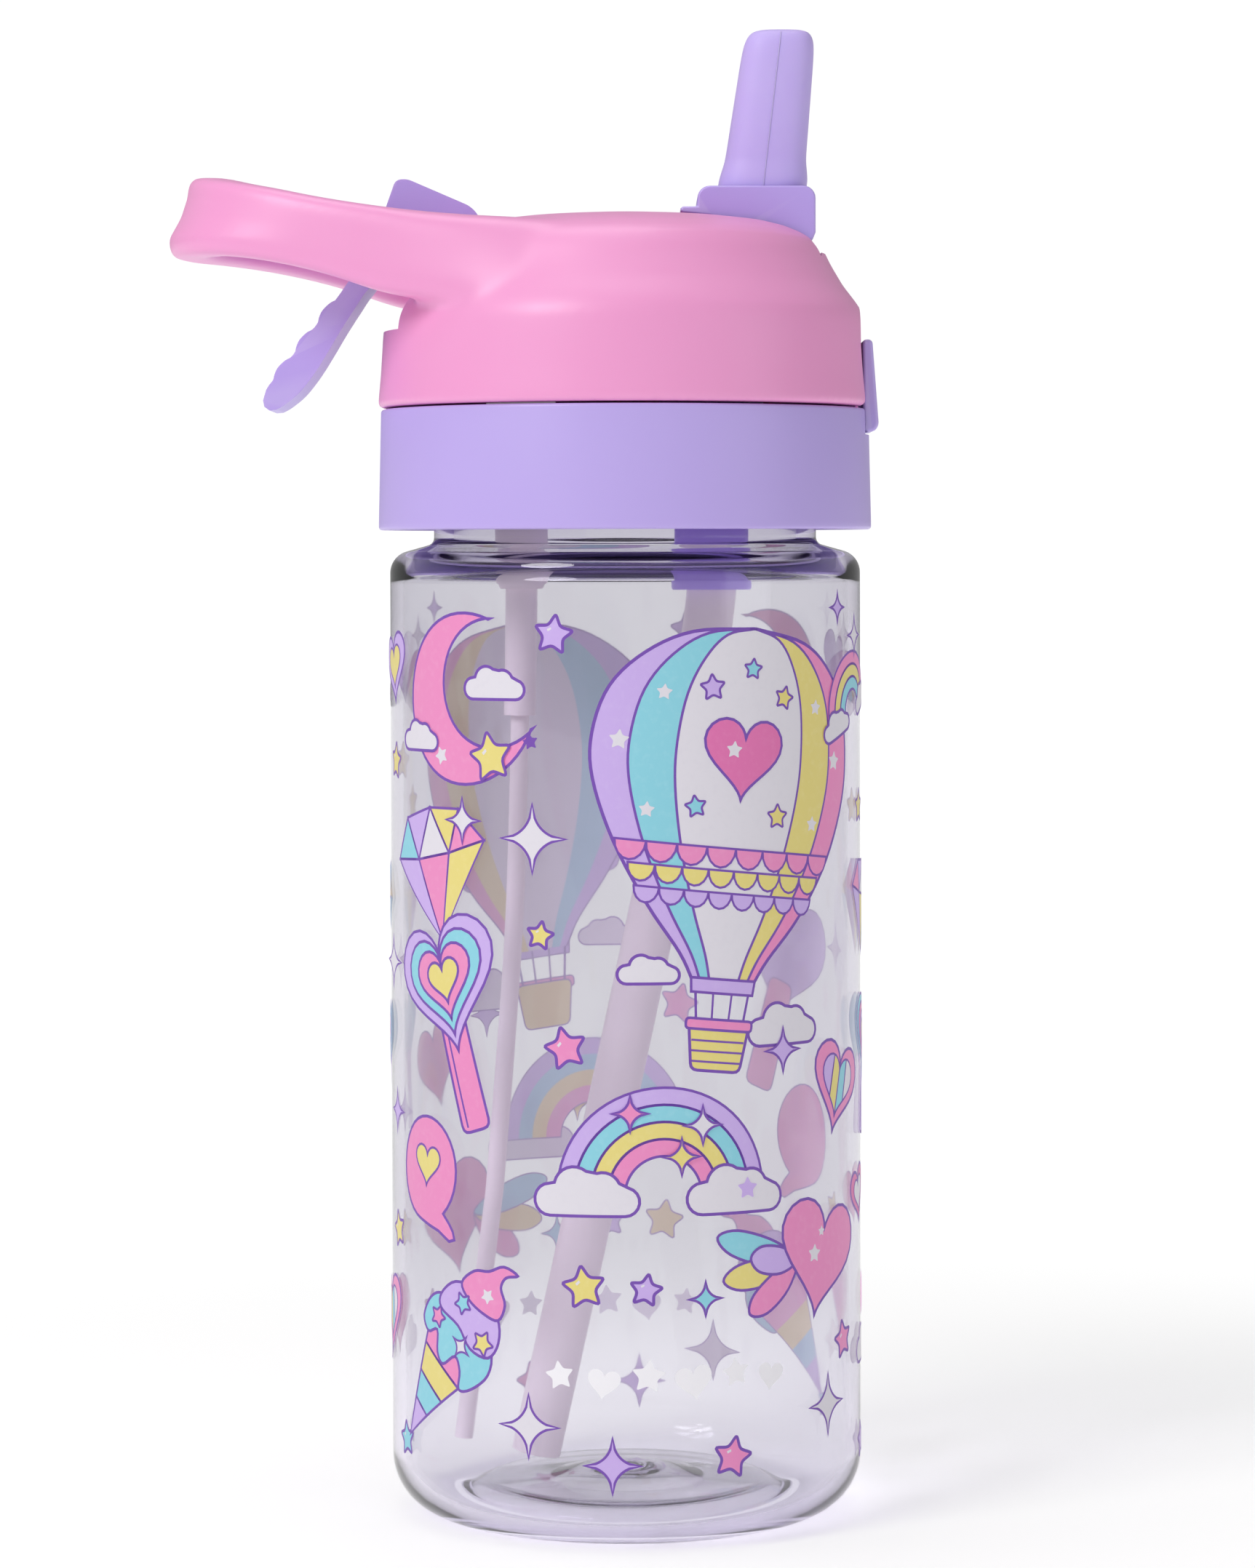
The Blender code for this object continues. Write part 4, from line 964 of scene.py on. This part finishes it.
# a ribbon of even width along a line
def stroke(points, layer, width, closed=True, ink="violet"):
    half = width * printSetup["lineScale"] / 2
    pts = [Vector((p[0], p[1])) for p in points]
    if closed and (pts[0] - pts[-1]).length < 1e-6:
        pts.pop()
    count = len(pts)
    sides = []
    for i, p in enumerate(pts):
        before = pts[i - 1] if closed or i else p
        after = pts[(i + 1) % count] if closed or i < count - 1 else p
        a, b = (p - before), (after - p)
        if a.length < 1e-9:
            a = b
        if b.length < 1e-9:
            b = a
        a.normalize()
        b.normalize()
        out = Vector((-(a.y + b.y), a.x + b.x))
        out = out.normalized() if out.length > 1e-6 else Vector((-a.y, a.x))
        reach = half / max(0.45, out.dot(Vector((-a.y, a.x))))
        sides.append((p + out * reach, p - out * reach))
    for i in range(count if closed else count - 1):
        (a0, a1), (b0, b1) = sides[i], sides[(i + 1) % count]
        fill(ink, [a0, b0, b1, a1], layer)


def turnPoints(points, u, v, tilt=0.0, size=1.0):
    c, s = math.cos(math.radians(tilt)), math.sin(math.radians(tilt))
    return [(u + size * (x * c - y * s), v + size * (x * s + y * c)) for x, y in points]


def starPoints(tips=5, deep=0.5, soft=0.18):
    corners = []
    for i in range(tips * 2):
        r = 1.0 if i % 2 == 0 else deep
        turn = math.pi / 2 + math.pi * i / tips
        corners.append((r * math.cos(turn), r * math.sin(turn)))
    return roundCorners(corners, soft, 3)


def sparklePoints():
    points = []
    for i in range(48):
        turn = 2 * math.pi * i / 48
        r = 1.0 / (abs(math.cos(turn)) ** 0.55 + abs(math.sin(turn)) ** 0.55) ** (1 / 0.55)
        points.append((r * math.cos(turn), r * math.sin(turn)))
    return points


def heartPoints():
    points = []
    for i in range(40):
        t = 2 * math.pi * i / 40
        x = 16 * math.sin(t) ** 3
        y = 13 * math.cos(t) - 5 * math.cos(2 * t) - 2 * math.cos(3 * t) - math.cos(4 * t)
        points.append((x / 16, (y + 2) / 16))
    return points


def cloudPoints():
    return (arc(-0.70, -0.06, 0.30, 270, 112, 8) + arc(-0.24, 0.18, 0.38, 168, 52, 8)
            + arc(0.30, 0.12, 0.34, 108, 24, 6) + arc(0.72, -0.09, 0.27, 76, -90, 8))


# fills and outlines shapes given as ink, points, layer and line width
def onMotif(shapes, u, v, tilt, size):
    for ink, points, layer, line in shapes:
        placed = turnPoints(points, u, v, tilt, size)
        if ink:
            fill(ink, placed, layer)
        if line:
            stroke(placed, layer + 1, line)


def starAt(x, y, r, turn=0.0):
    return turnPoints(starPoints(), x, y, turn, r)


def heartAt(x, y, r, turn=0.0):
    return turnPoints(heartPoints(), x, y, turn, r)


# the part of an outline between two upright lines
def sliceX(points, low, high):
    for edge, side in ((low, 1), (high, -1)):
        kept = []
        for i, p in enumerate(points):
            q = points[(i + 1) % len(points)]
            inP, inQ = (p[0] - edge) * side >= 0, (q[0] - edge) * side >= 0
            if inP:
                kept.append(p)
            if inP != inQ:
                t = (edge - p[0]) / (q[0] - p[0])
                kept.append((edge, p[1] + t * (q[1] - p[1])))
        points = kept
    return points


def motifStar(u, v, size, tilt, inks):
    glint = [(-0.34, 0.22), (-0.16, 0.34), (-0.12, 0.24), (-0.28, 0.12)]
    onMotif([(inks[0], starPoints(), 1, 0.42), ("white", glint, 3, 0)], u, v, tilt, size)


def motifSparkle(u, v, size, tilt, inks):
    onMotif([(inks[0], sparklePoints(), 6, 0.34)], u, v, tilt, size)


def motifHeart(u, v, size, tilt, inks):
    onMotif([(inks[0], heartPoints(), 1, 0.42)], u, v, tilt, size)
    if len(inks) > 1:
        onMotif([(inks[1], heartAt(0, 0.02, 0.62), 3, 0.3)], u, v, tilt, size)


def motifStripedHeart(u, v, size, tilt, inks):
    onMotif([(inks[0], heartPoints(), 1, 0.42)], u, v, tilt, size)
    inner = heartAt(0, 0.02, 0.68)
    edges = [-0.68, -0.30, 0.0, 0.30, 0.68]
    for i, ink in enumerate(inks[1:]):
        onMotif([(ink, sliceX(inner, edges[i], edges[i + 1]), 3, 0.3)], u, v, tilt, size)


def motifCloud(u, v, size, tilt, inks):
    onMotif([(inks[0], cloudPoints(), 4, 0.42)], u, v, tilt, size)


def motifMoon(u, v, size, tilt, inks):
    crescent = arc(0, 0, 1.0, 44, 316, 40) + arc(0.46, 0, 0.755, 295, 65, 30)
    onMotif([(inks[0], crescent, 1, 0.42), ("white", starAt(-0.76, -0.12, 0.10), 3, 0),
             ("white", starAt(-0.62, -0.46, 0.12), 3, 0)], u, v, tilt, size)


def motifPlainStar(u, v, size, tilt, inks):
    onMotif([(inks[0], starPoints(), 1, 0)], u, v, tilt, size)


def motifPlainHeart(u, v, size, tilt, inks):
    onMotif([(inks[0], heartPoints(), 1, 0)], u, v, tilt, size)


def motifRainbow(u, v, size, tilt, inks):
    band = 0.64 / len(inks)
    for i, ink in enumerate(inks):
        hoop = arc(0, 0, 1.0 - band * i, 0, 180, 34) + arc(0, 0, 1.0 - band * (i + 1), 180, 0, 34)
        onMotif([(ink, hoop, 1, 0.36)], u, v, tilt, size)
    for side in (-1, 1):
        foot = turnPoints([(side * 0.72, -0.02)], u, v, tilt, size)[0]
        motifCloud(foot[0], foot[1], size * 0.50, tilt, ["white"])


def motifGem(u, v, size, tilt, inks):
    a, b, c = (-0.60, 0.74), (0.04, 0.80), (0.62, 0.70)
    d, e, f, g, tip = (-1.0, 0.22), (-0.36, 0.14), (0.34, 0.14), (1.0, 0.22), (0.0, -1.0)
    facets = [(inks[0], [a, d, e]), (inks[1], [a, e, b]), ("white", [b, e, f]), (inks[2], [b, f, c]),
              (inks[3], [c, f, g]), (inks[1], [d, tip, e]), (inks[3], [e, tip, f]), (inks[2], [f, tip, g])]
    onMotif([(ink, corners, 1, 0.36) for ink, corners in facets], u, v, tilt, size)


# a heart-shaped ice on a flat stick
def motifPop(u, v, size, tilt, inks):
    stick = roundCorners([(-0.24, -0.4), (-0.24, -2.05), (0.24, -2.05), (0.24, -0.4)], 0.12, 3)
    onMotif([(inks[2], stick, 1, 0.42)], u, v, tilt, size)
    stroke(turnPoints([(-0.14, -0.6), (-0.14, -1.98)], u, v, tilt, size), 3, 0.3, False)
    for i, (scale, ink) in enumerate(zip((1.0, 0.78, 0.56, 0.33), inks)):
        onMotif([(ink, heartAt(0, 0.02 * i, scale), 4 + 2 * i, 0.40)], u, v, tilt, size)


# scoops with a curled top in a banded cone
def motifCone(u, v, size, tilt, inks):
    edges = [0.0, 0.34, 0.68, 1.02, 1.5]
    for i, ink in enumerate(("pink", "yellow", "aqua", "lilac")):
        wide = [0.50 * (1 - edge / 1.5) for edge in edges[i:i + 2]]
        band = [(-wide[0], -edges[i]), (wide[0], -edges[i]), (wide[1], -edges[i + 1]), (-wide[1], -edges[i + 1])]
        if i == 3:
            band = band[:2] + [(0, -1.5)]
        onMotif([(ink, band, 1, 0.38)], u, v, tilt, size)
    drip = smoothLine([(-0.62, 0.16), (-0.60, -0.12), (-0.42, -0.20), (-0.30, -0.06), (-0.14, -0.26),
                       (0.02, -0.30), (0.12, -0.08), (0.28, -0.16), (0.40, -0.34), (0.54, -0.20),
                       (0.62, 0.10), (0.46, 0.36), (0.0, 0.44), (-0.46, 0.36)], 4, True)
    middle = smoothLine([(-0.50, 0.34), (-0.40, 0.20), (-0.06, 0.24), (0.24, 0.16), (0.50, 0.26), (0.50, 0.50),
                         (0.30, 0.72), (-0.10, 0.76), (-0.40, 0.62)], 4, True)
    curl = smoothLine([(-0.32, 0.68), (-0.12, 0.60), (0.14, 0.62), (0.34, 0.70), (0.30, 0.90), (0.14, 1.02),
                       (0.12, 1.16), (0.22, 1.28), (0.02, 1.24), (-0.10, 1.06), (-0.26, 0.92)], 4, True)
    onMotif([(inks[0], drip, 4, 0.40), (inks[1], middle, 6, 0.40), (inks[2], curl, 8, 0.40),
             ("yellow", starAt(0.34, 0.34, 0.16, 10), 10, 0.32), ("white", starAt(0.06, 0.82, 0.10), 10, 0),
             ("aqua", starAt(-0.16, 0.50, 0.14, -8), 10, 0.32), ("pink", starAt(-0.38, 0.08, 0.14, 14), 10, 0.32),
             ("white", turnPoints(sparklePoints(), 0.12, 0.08, 0, 0.16), 10, 0.28)], u, v, tilt, size)


def motifBubble(u, v, size, tilt, inks):
    oval = [(c, 1.12 * s) for c, s in arc(0, 0, 0.98, -50, 260, 28)]
    shape = oval + [(0.18, -1.16), (0.50, -1.22), (0.86, -1.38), (1.02, -1.32), (0.96, -1.16), (0.84, -1.02)]
    onMotif([(inks[0], shape, 1, 0.42), (inks[1], heartAt(0, 0.08, 0.46), 3, 0.32)], u, v, tilt, size)


# a heart with one wing of pastel feathers
def motifWing(u, v, size, tilt, inks):
    feathers = ((166, 1.55, "aqua"), (192, 1.40, "yellow"), (222, 1.20, "pink"), (176, 0.92, "lilac"))
    for i, (angle, reach, ink) in enumerate(feathers):
        petal = smoothLine([(0, 0), (reach * 0.35, 0.22), (reach * 0.8, 0.22), (reach, 0.02), (reach * 0.8, -0.17),
                            (reach * 0.35, -0.17)], 5, True)
        onMotif([(ink, turnPoints(petal, -0.05, -0.02, angle, 1), 1 + 2 * i, 0.38)], u, v, tilt, size)
    onMotif([(inks[0], heartAt(0.52, 0, 0.98, -8), 9, 0.42), ("white", starAt(0.34, 0.06, 0.16), 11, 0),
             ("white", starAt(0.50, 0.40, 0.09), 11, 0)], u, v, tilt, size)


# a hot-air balloon with pastel gores, a scalloped skirt and a basket
def motifBalloon(u, v, size, tilt, inks):
    half = smoothLine([(4.2, 0), (6.6, 4), (11.6, 10), (17.0, 18), (20.6, 26), (21.3, 32), (19.6, 38.5),
                       (15.2, 43.5), (9.0, 46.8), (0.0, 48.0)], 5)
    cuts = (-1.0, -0.76, -0.46, 0.46, 0.76, 1.0)

    def edgeAt(k):
        return [(p.x * k, p.y) for p in half]

    def widthAt(y):
        near = min(half, key=lambda p: abs(p.y - y))
        return near.x

    for i, ink in enumerate(inks):
        gore = edgeAt(cuts[i]) + list(reversed(edgeAt(cuts[i + 1])))
        fill(ink, turnPoints(gore, u, v, tilt, size), 1)
    for k in cuts:
        stroke(turnPoints(edgeAt(k), u, v, tilt, size), 2, 0.46 if abs(k) == 1 else 0.36, False)
    for row, (y, count, ink) in enumerate(((12.4, 8, "lilac"), (15.4, 8, "yellow"), (18.4, 8, "pink"))):
        wide = widthAt(y) * 0.99
        for i in range(count):
            x = (2 * i + 1 - count) * wide / count
            puff = [(x + wide / count * c, y + 1.25 * wide / count * s) for c, s in arc(0, 0, 1, 180, 360, 8)]
            onMotif([(ink, puff, 3 + 2 * row, 0.30)], u, v, tilt, size)
    onMotif([("rose", heartAt(0, 30.5, 6.0), 6, 0.38), ("white", starAt(-1.6, 31.6, 1.3), 8, 0),
             ("lilac", starAt(-5.6, 39.6, 1.9, 10), 6, 0.32), ("yellow", starAt(5.8, 39.2, 1.7, -10), 6, 0.32),
             ("aqua", starAt(0.2, 42.6, 1.5), 6, 0.30), ("aqua", starAt(-6.4, 23.6, 1.6, 14), 6, 0.30),
             ("yellow", starAt(6.2, 23.2, 1.8, 4), 6, 0.30)], u, v, tilt, size)
    for side in (-1, 1):
        onMotif([("white", starAt(side * 17.6, 31.5, 1.5), 6, 0), ("white", starAt(side * 13.0, 22.6, 1.2), 6, 0),
                 ("white", starAt(side * 12.2, 38.4, 1.2), 6, 0)], u, v, tilt, size)
        stroke(turnPoints([(side * 4.0, 0), (side * 3.4, -5)], u, v, tilt, size), 2, 0.36, False)
        stroke(turnPoints([(side * 1.4, 0), (side * 1.2, -5)], u, v, tilt, size), 2, 0.30, False)
    basket = roundCorners([(-4.4, -5), (4.4, -5), (3.5, -11.4), (-3.5, -11.4)], 0.9, 3)
    band = [(-4.5, -1.0), (4.5, -1.0), (4.7, 0.9), (-4.7, 0.9)]
    rim = roundCorners([(-4.8, -5.9), (4.8, -5.9), (4.8, -4.5), (-4.8, -4.5)], 0.5, 3)
    onMotif([("yellow", basket, 3, 0.42), ("lilac", band, 6, 0.36), ("pink", rim, 6, 0.36)], u, v, tilt, size)
    for y in (-7.4, -8.8, -10.2):
        stroke(turnPoints([(-3.8, y), (3.8, y)], u, v, tilt, size), 5, 0.28, False)
    for side in (-1, 1):
        at = turnPoints([(side * 10.5, -2.0 - 3 * side)], u, v, tilt, size)[0]
        motifCloud(at[0], at[1], size * (5.2 + side), 0, ["white"])


motifs = {
    "star": motifStar, "sparkle": motifSparkle, "heart": motifHeart, "striped": motifStripedHeart,
    "cloud": motifCloud, "moon": motifMoon, "rainbow": motifRainbow, "gem": motifGem, "pop": motifPop,
    "cone": motifCone, "bubble": motifBubble, "wing": motifWing, "balloon": motifBalloon,
    "plainStar": motifPlainStar, "plainHeart": motifPlainHeart,
}

printLayout = [  # motif, way round the wall from the front in mm, height, size, tilt, inks
    ("balloon", 15.5, 88.0, 1.16, -6, ["lilac", "aqua", "white", "yellow", "pink"]),
    ("moon", -27.5, 132.5, 13.4, 24, ["pink"]), ("cloud", -21.5, 134.5, 5.6, 0, ["white"]),
    ("star", -22.0, 123.5, 4.2, 10, ["yellow"]), ("cloud", -38.5, 126.0, 5.2, 0, ["white"]),
    ("star", -11.2, 142.6, 3.3, -8, ["lilac"]), ("plainStar", -15.0, 126.0, 1.4, 10, ["violet"]),
    ("rainbow", 47.5, 130.0, 9.5, 18, ["pink", "yellow", "aqua"]), ("sparkle", 41.0, 146.5, 2.6, 0, ["lilac"]),
    ("sparkle", 48.0, 142.0, 3.4, 0, ["white"]),
    ("gem", -34.2, 106.0, 11.6, 10, ["aqua", "lilac", "yellow", "pink"]),
    ("sparkle", -27.5, 113.5, 3.6, 0, ["white"]), ("sparkle", -14.6, 111.0, 5.4, 0, ["white"]),
    ("pop", -31.5, 87.5, 11.4, 17, ["lilac", "aqua", "pink", "yellow"]), ("star", -9.4, 78.6, 3.6, 14, ["pink"]),
    ("star", -13.5, 96.0, 2.4, -10, ["yellow"]), ("sparkle", 26.5, 77.5, 3.6, 0, ["lilac"]),
    ("rainbow", 5.8, 56.0, 16.6, 0, ["lilac", "aqua", "yellow", "pink"]),
    ("sparkle", 0.6, 68.6, 2.9, 0, ["pink"]), ("sparkle", 12.0, 66.6, 3.1, 0, ["white"]),
    ("sparkle", 8.6, 61.8, 3.0, 0, ["yellow"]), ("plainStar", 19.6, 56.4, 1.9, 0, ["lilac"]),
    ("bubble", -37.0, 58.0, 7.6, -4, ["pink", "yellow"]),
    ("striped", 41.0, 70.5, 7.8, -16, ["pink", "lilac", "yellow", "aqua", "white"]),
    ("wing", 30.0, 44.5, 10.2, -4, ["pink"]), ("star", -6.6, 41.6, 3.6, 8, ["yellow"]),
    ("cone", -30.5, 31.0, 13.6, -38, ["aqua", "lilac", "pink"]), ("sparkle", -15.6, 19.6, 5.0, 0, ["white"]),
    ("sparkle", -2.2, 13.9, 4.4, 0, ["lilac"]), ("star", 17.0, 14.6, 3.5, -12, ["pink"]),
    ("sparkle", 37.6, 20.5, 5.0, 0, ["white"]), ("star", 43.0, 30.0, 3.3, 10, ["pink"]),
    ("plainStar", -10.5, 27.8, 2.5, 8, ["milk"]), ("plainHeart", -3.6, 26.6, 2.6, -8, ["milk"]),
    ("plainStar", 3.4, 27.8, 2.9, -6, ["milk"]), ("plainHeart", 10.6, 26.6, 3.0, 8, ["milk"]),
    ("plainStar", 17.6, 27.8, 2.5, 6, ["milk"]), ("plainHeart", 24.0, 26.6, 2.4, -8, ["milk"]),
    ("star", 3.0, 41.2, 2.7, -10, ["lilac"]), ("sparkle", 12.4, 39.6, 2.8, 0, ["aqua"]),
    ("gem", 55.5, 99.0, 8.4, -8, ["pink", "lilac", "aqua", "yellow"]), ("star", 52.0, 114.5, 3.0, 0, ["yellow"]),
    ("pop", 57.5, 77.0, 7.6, -10, ["aqua", "pink", "lilac", "yellow"]), ("cloud", 57.0, 27.0, 6.4, 0, ["white"]),
    ("heart", -49.5, 137.0, 6.0, 10, ["lilac", "yellow"]), ("star", -49.5, 122.0, 3.2, -6, ["yellow"]),
    ("sparkle", -49.0, 90.0, 4.2, 0, ["white"]), ("star", -48.5, 47.0, 3.2, 14, ["yellow"]),
    ("striped", -53.5, 33.0, 6.8, 8, ["pink", "lilac", "yellow", "aqua", "white"]),
    ("sparkle", -49.0, 66.0, 3.6, 0, ["lilac"]), ("heart", 52.0, 52.0, 5.0, 12, ["rose", "white"]),
    ("star", 55.0, 12.0, 3.2, 8, ["lilac"]), ("star", -44.5, 14.0, 3.0, 8, ["aqua"]),
]


# splits a flat shape into strips and bends it onto the wall
def wrapShape(points, layer, verts, faces):
    flat = [Vector((x, y, 0)) for x, y in points]
    bm = bmesh.new()
    corners = [bm.verts.new(p) for p in flat]
    for a, b, c in geometry.tessellate_polygon([flat]):
        if len({a, b, c}) == 3:
            area = (flat[b] - flat[a]).cross(flat[c] - flat[a]).z
            if abs(area) > 1e-7:
                order = (a, b, c) if area > 0 else (a, c, b)
                bm.faces.new([corners[k] for k in order])
    low, high = min(p.x for p in flat), max(p.x for p in flat)
    cell = printSetup["cell"]
    for k in range(math.ceil(low / cell), math.floor(high / cell) + 1):
        bmesh.ops.bisect_plane(bm, geom=bm.verts[:] + bm.edges[:] + bm.faces[:], dist=1e-6,
                               plane_co=(k * cell, 0, 0), plane_no=(1, 0, 0))
    bm.verts.index_update()
    radius = bodyRadius + printSetup["lift"] + layer * printSetup["layerLift"]
    base = len(verts)
    for v in bm.verts:
        turn = v.co.x / bodyRadius - math.pi / 2
        verts.append(((axisX + radius * math.cos(turn)) * mm, radius * math.sin(turn) * mm, v.co.y * mm))
    for f in bm.faces:
        faces.append([base + v.index for v in f.verts])
    bm.free()


def makePrint(group):
    halfWay = math.pi * bodyRadius  # the far side repeats the near one
    for offset in (0.0, halfWay):
        laid = []
        for kind, u, v, size, tilt, inks in printLayout:
            midV, reach = (v + 17 * size, 30 * size) if kind == "balloon" else (v, size * 1.25)
            under = [deep for x, y, far, deep in laid if math.hypot(x - u, y - midV) < far + reach]
            deep = 1 + max(under) if under else 0
            laid.append((u, midV, reach, deep))
            stacking["base"] = deep * printSetup["layersEach"]
            motifs[kind](u + offset, v, size, tilt, inks)
    for ink, shapes in inkShapes.items():
        verts, faces = [], []
        for points, layer in shapes:
            wrapShape(points, layer, verts, faces)
        mesh = bpy.data.meshes.new("print_" + ink)
        mesh.from_pydata(verts, [], faces)
        mesh.shade_smooth()
        piece = addObject("print_" + ink, mesh, inkMaterial(ink, group))
        rideAs(piece, "bottle", "bottle_body")


floorSetup = {"glowFrom": 90.0, "glowTo": 330.0, "lift": 0.34, "halfSize": 4.0}  # it melts into the sky


def makeFloor():
    made, tree, shader = startMaterial("paleFloor")
    shader.inputs["Roughness"].default_value = 0.6
    shader.inputs["Emission Strength"].default_value = floorSetup["lift"]
    shader.inputs["Emission Color"].default_value = (1, 1, 1, 1)
    at = tree.nodes.new("ShaderNodeTexCoord").outputs["Object"]
    cloudy = node(tree, "ShaderNodeTexNoise", None, Vector=at, Scale=3.0, Detail=2.0)
    tone = node(tree, "ShaderNodeMix", {"data_type": "RGBA"}, i0=cloudy.outputs["Fac"], i6=(0.93, 0.93, 0.93, 1),
                i7=(0.95, 0.95, 0.95, 1))
    tree.links.new(tone.outputs[2], shader.inputs["Base Color"])
    away = node(tree, "ShaderNodeVectorMath", {"operation": "LENGTH"}, i0=at)
    far = node(tree, "ShaderNodeMapRange", {"interpolation_type": "SMOOTHSTEP"}, i0=away.outputs["Value"],
               i1=floorSetup["glowFrom"] * mm, i2=floorSetup["glowTo"] * mm)
    glow = node(tree, "ShaderNodeEmission", None, Strength=lightSetup["skySeen"])
    blend = tree.nodes.new("ShaderNodeMixShader")
    tree.links.new(far.outputs[0], blend.inputs[0])
    tree.links.new(shader.outputs[0], blend.inputs[1])
    tree.links.new(glow.outputs[0], blend.inputs[2])
    tree.links.new(blend.outputs[0], tree.nodes["Material Output"].inputs["Surface"])
    bm = bmesh.new()
    bmesh.ops.create_grid(bm, x_segments=2, y_segments=2, size=floorSetup["halfSize"])
    floor = fromBmesh("floor", bm, made)
    floor.location.z = bodyLow.z


def build():
    makeCamera()
    makeLights()
    makeFloor()
    print("camera, lights and floor made")
    moulded, silicone, ink = makeMouldedGroup(), makeSiliconeGroup(), makeInkGroup()
    looks = {name: mouldedMaterial(name, moulded) for name in ("pinkShell", "lilacCap", "lilacParts", "connector")}
    looks.update({name: siliconeMaterial(name, silicone) for name in ("softSpout", "seals", "tubes")})
    looks.update({"steel": steelMaterial("steel", moulded), "clearBody": clearMaterial("clearBody")})
    print("materials made")
    makeBottle(looks["clearBody"])
    makeCollar(looks["lilacCap"])
    print("bottle and cap made")
    makeLid(looks["pinkShell"])
    print("lid made")
    makeSpout(looks["softSpout"])
    makeCarrier(looks["lilacParts"])
    makeLever(looks["lilacParts"])
    makeButton(looks["lilacCap"])
    print("spout, lever and latch made")
    makeInsideParts(looks["tubes"], looks["connector"])
    for name, look in (("neck_seal", "seals"), ("straw_grommet", "seals"), ("spout_neck", "softSpout"),
                       ("spout_pin", "steel"), ("lever_pin", "steel"), ("spout_spring", "steel"),
                       ("lever_spring", "steel"), ("latch_spring", "steel")):
        for slot in frame["nodes"][name].material_slots:
            slot.material = looks[look]
    print("inside parts made")
    makePrint(ink)
    print("print made")


build()
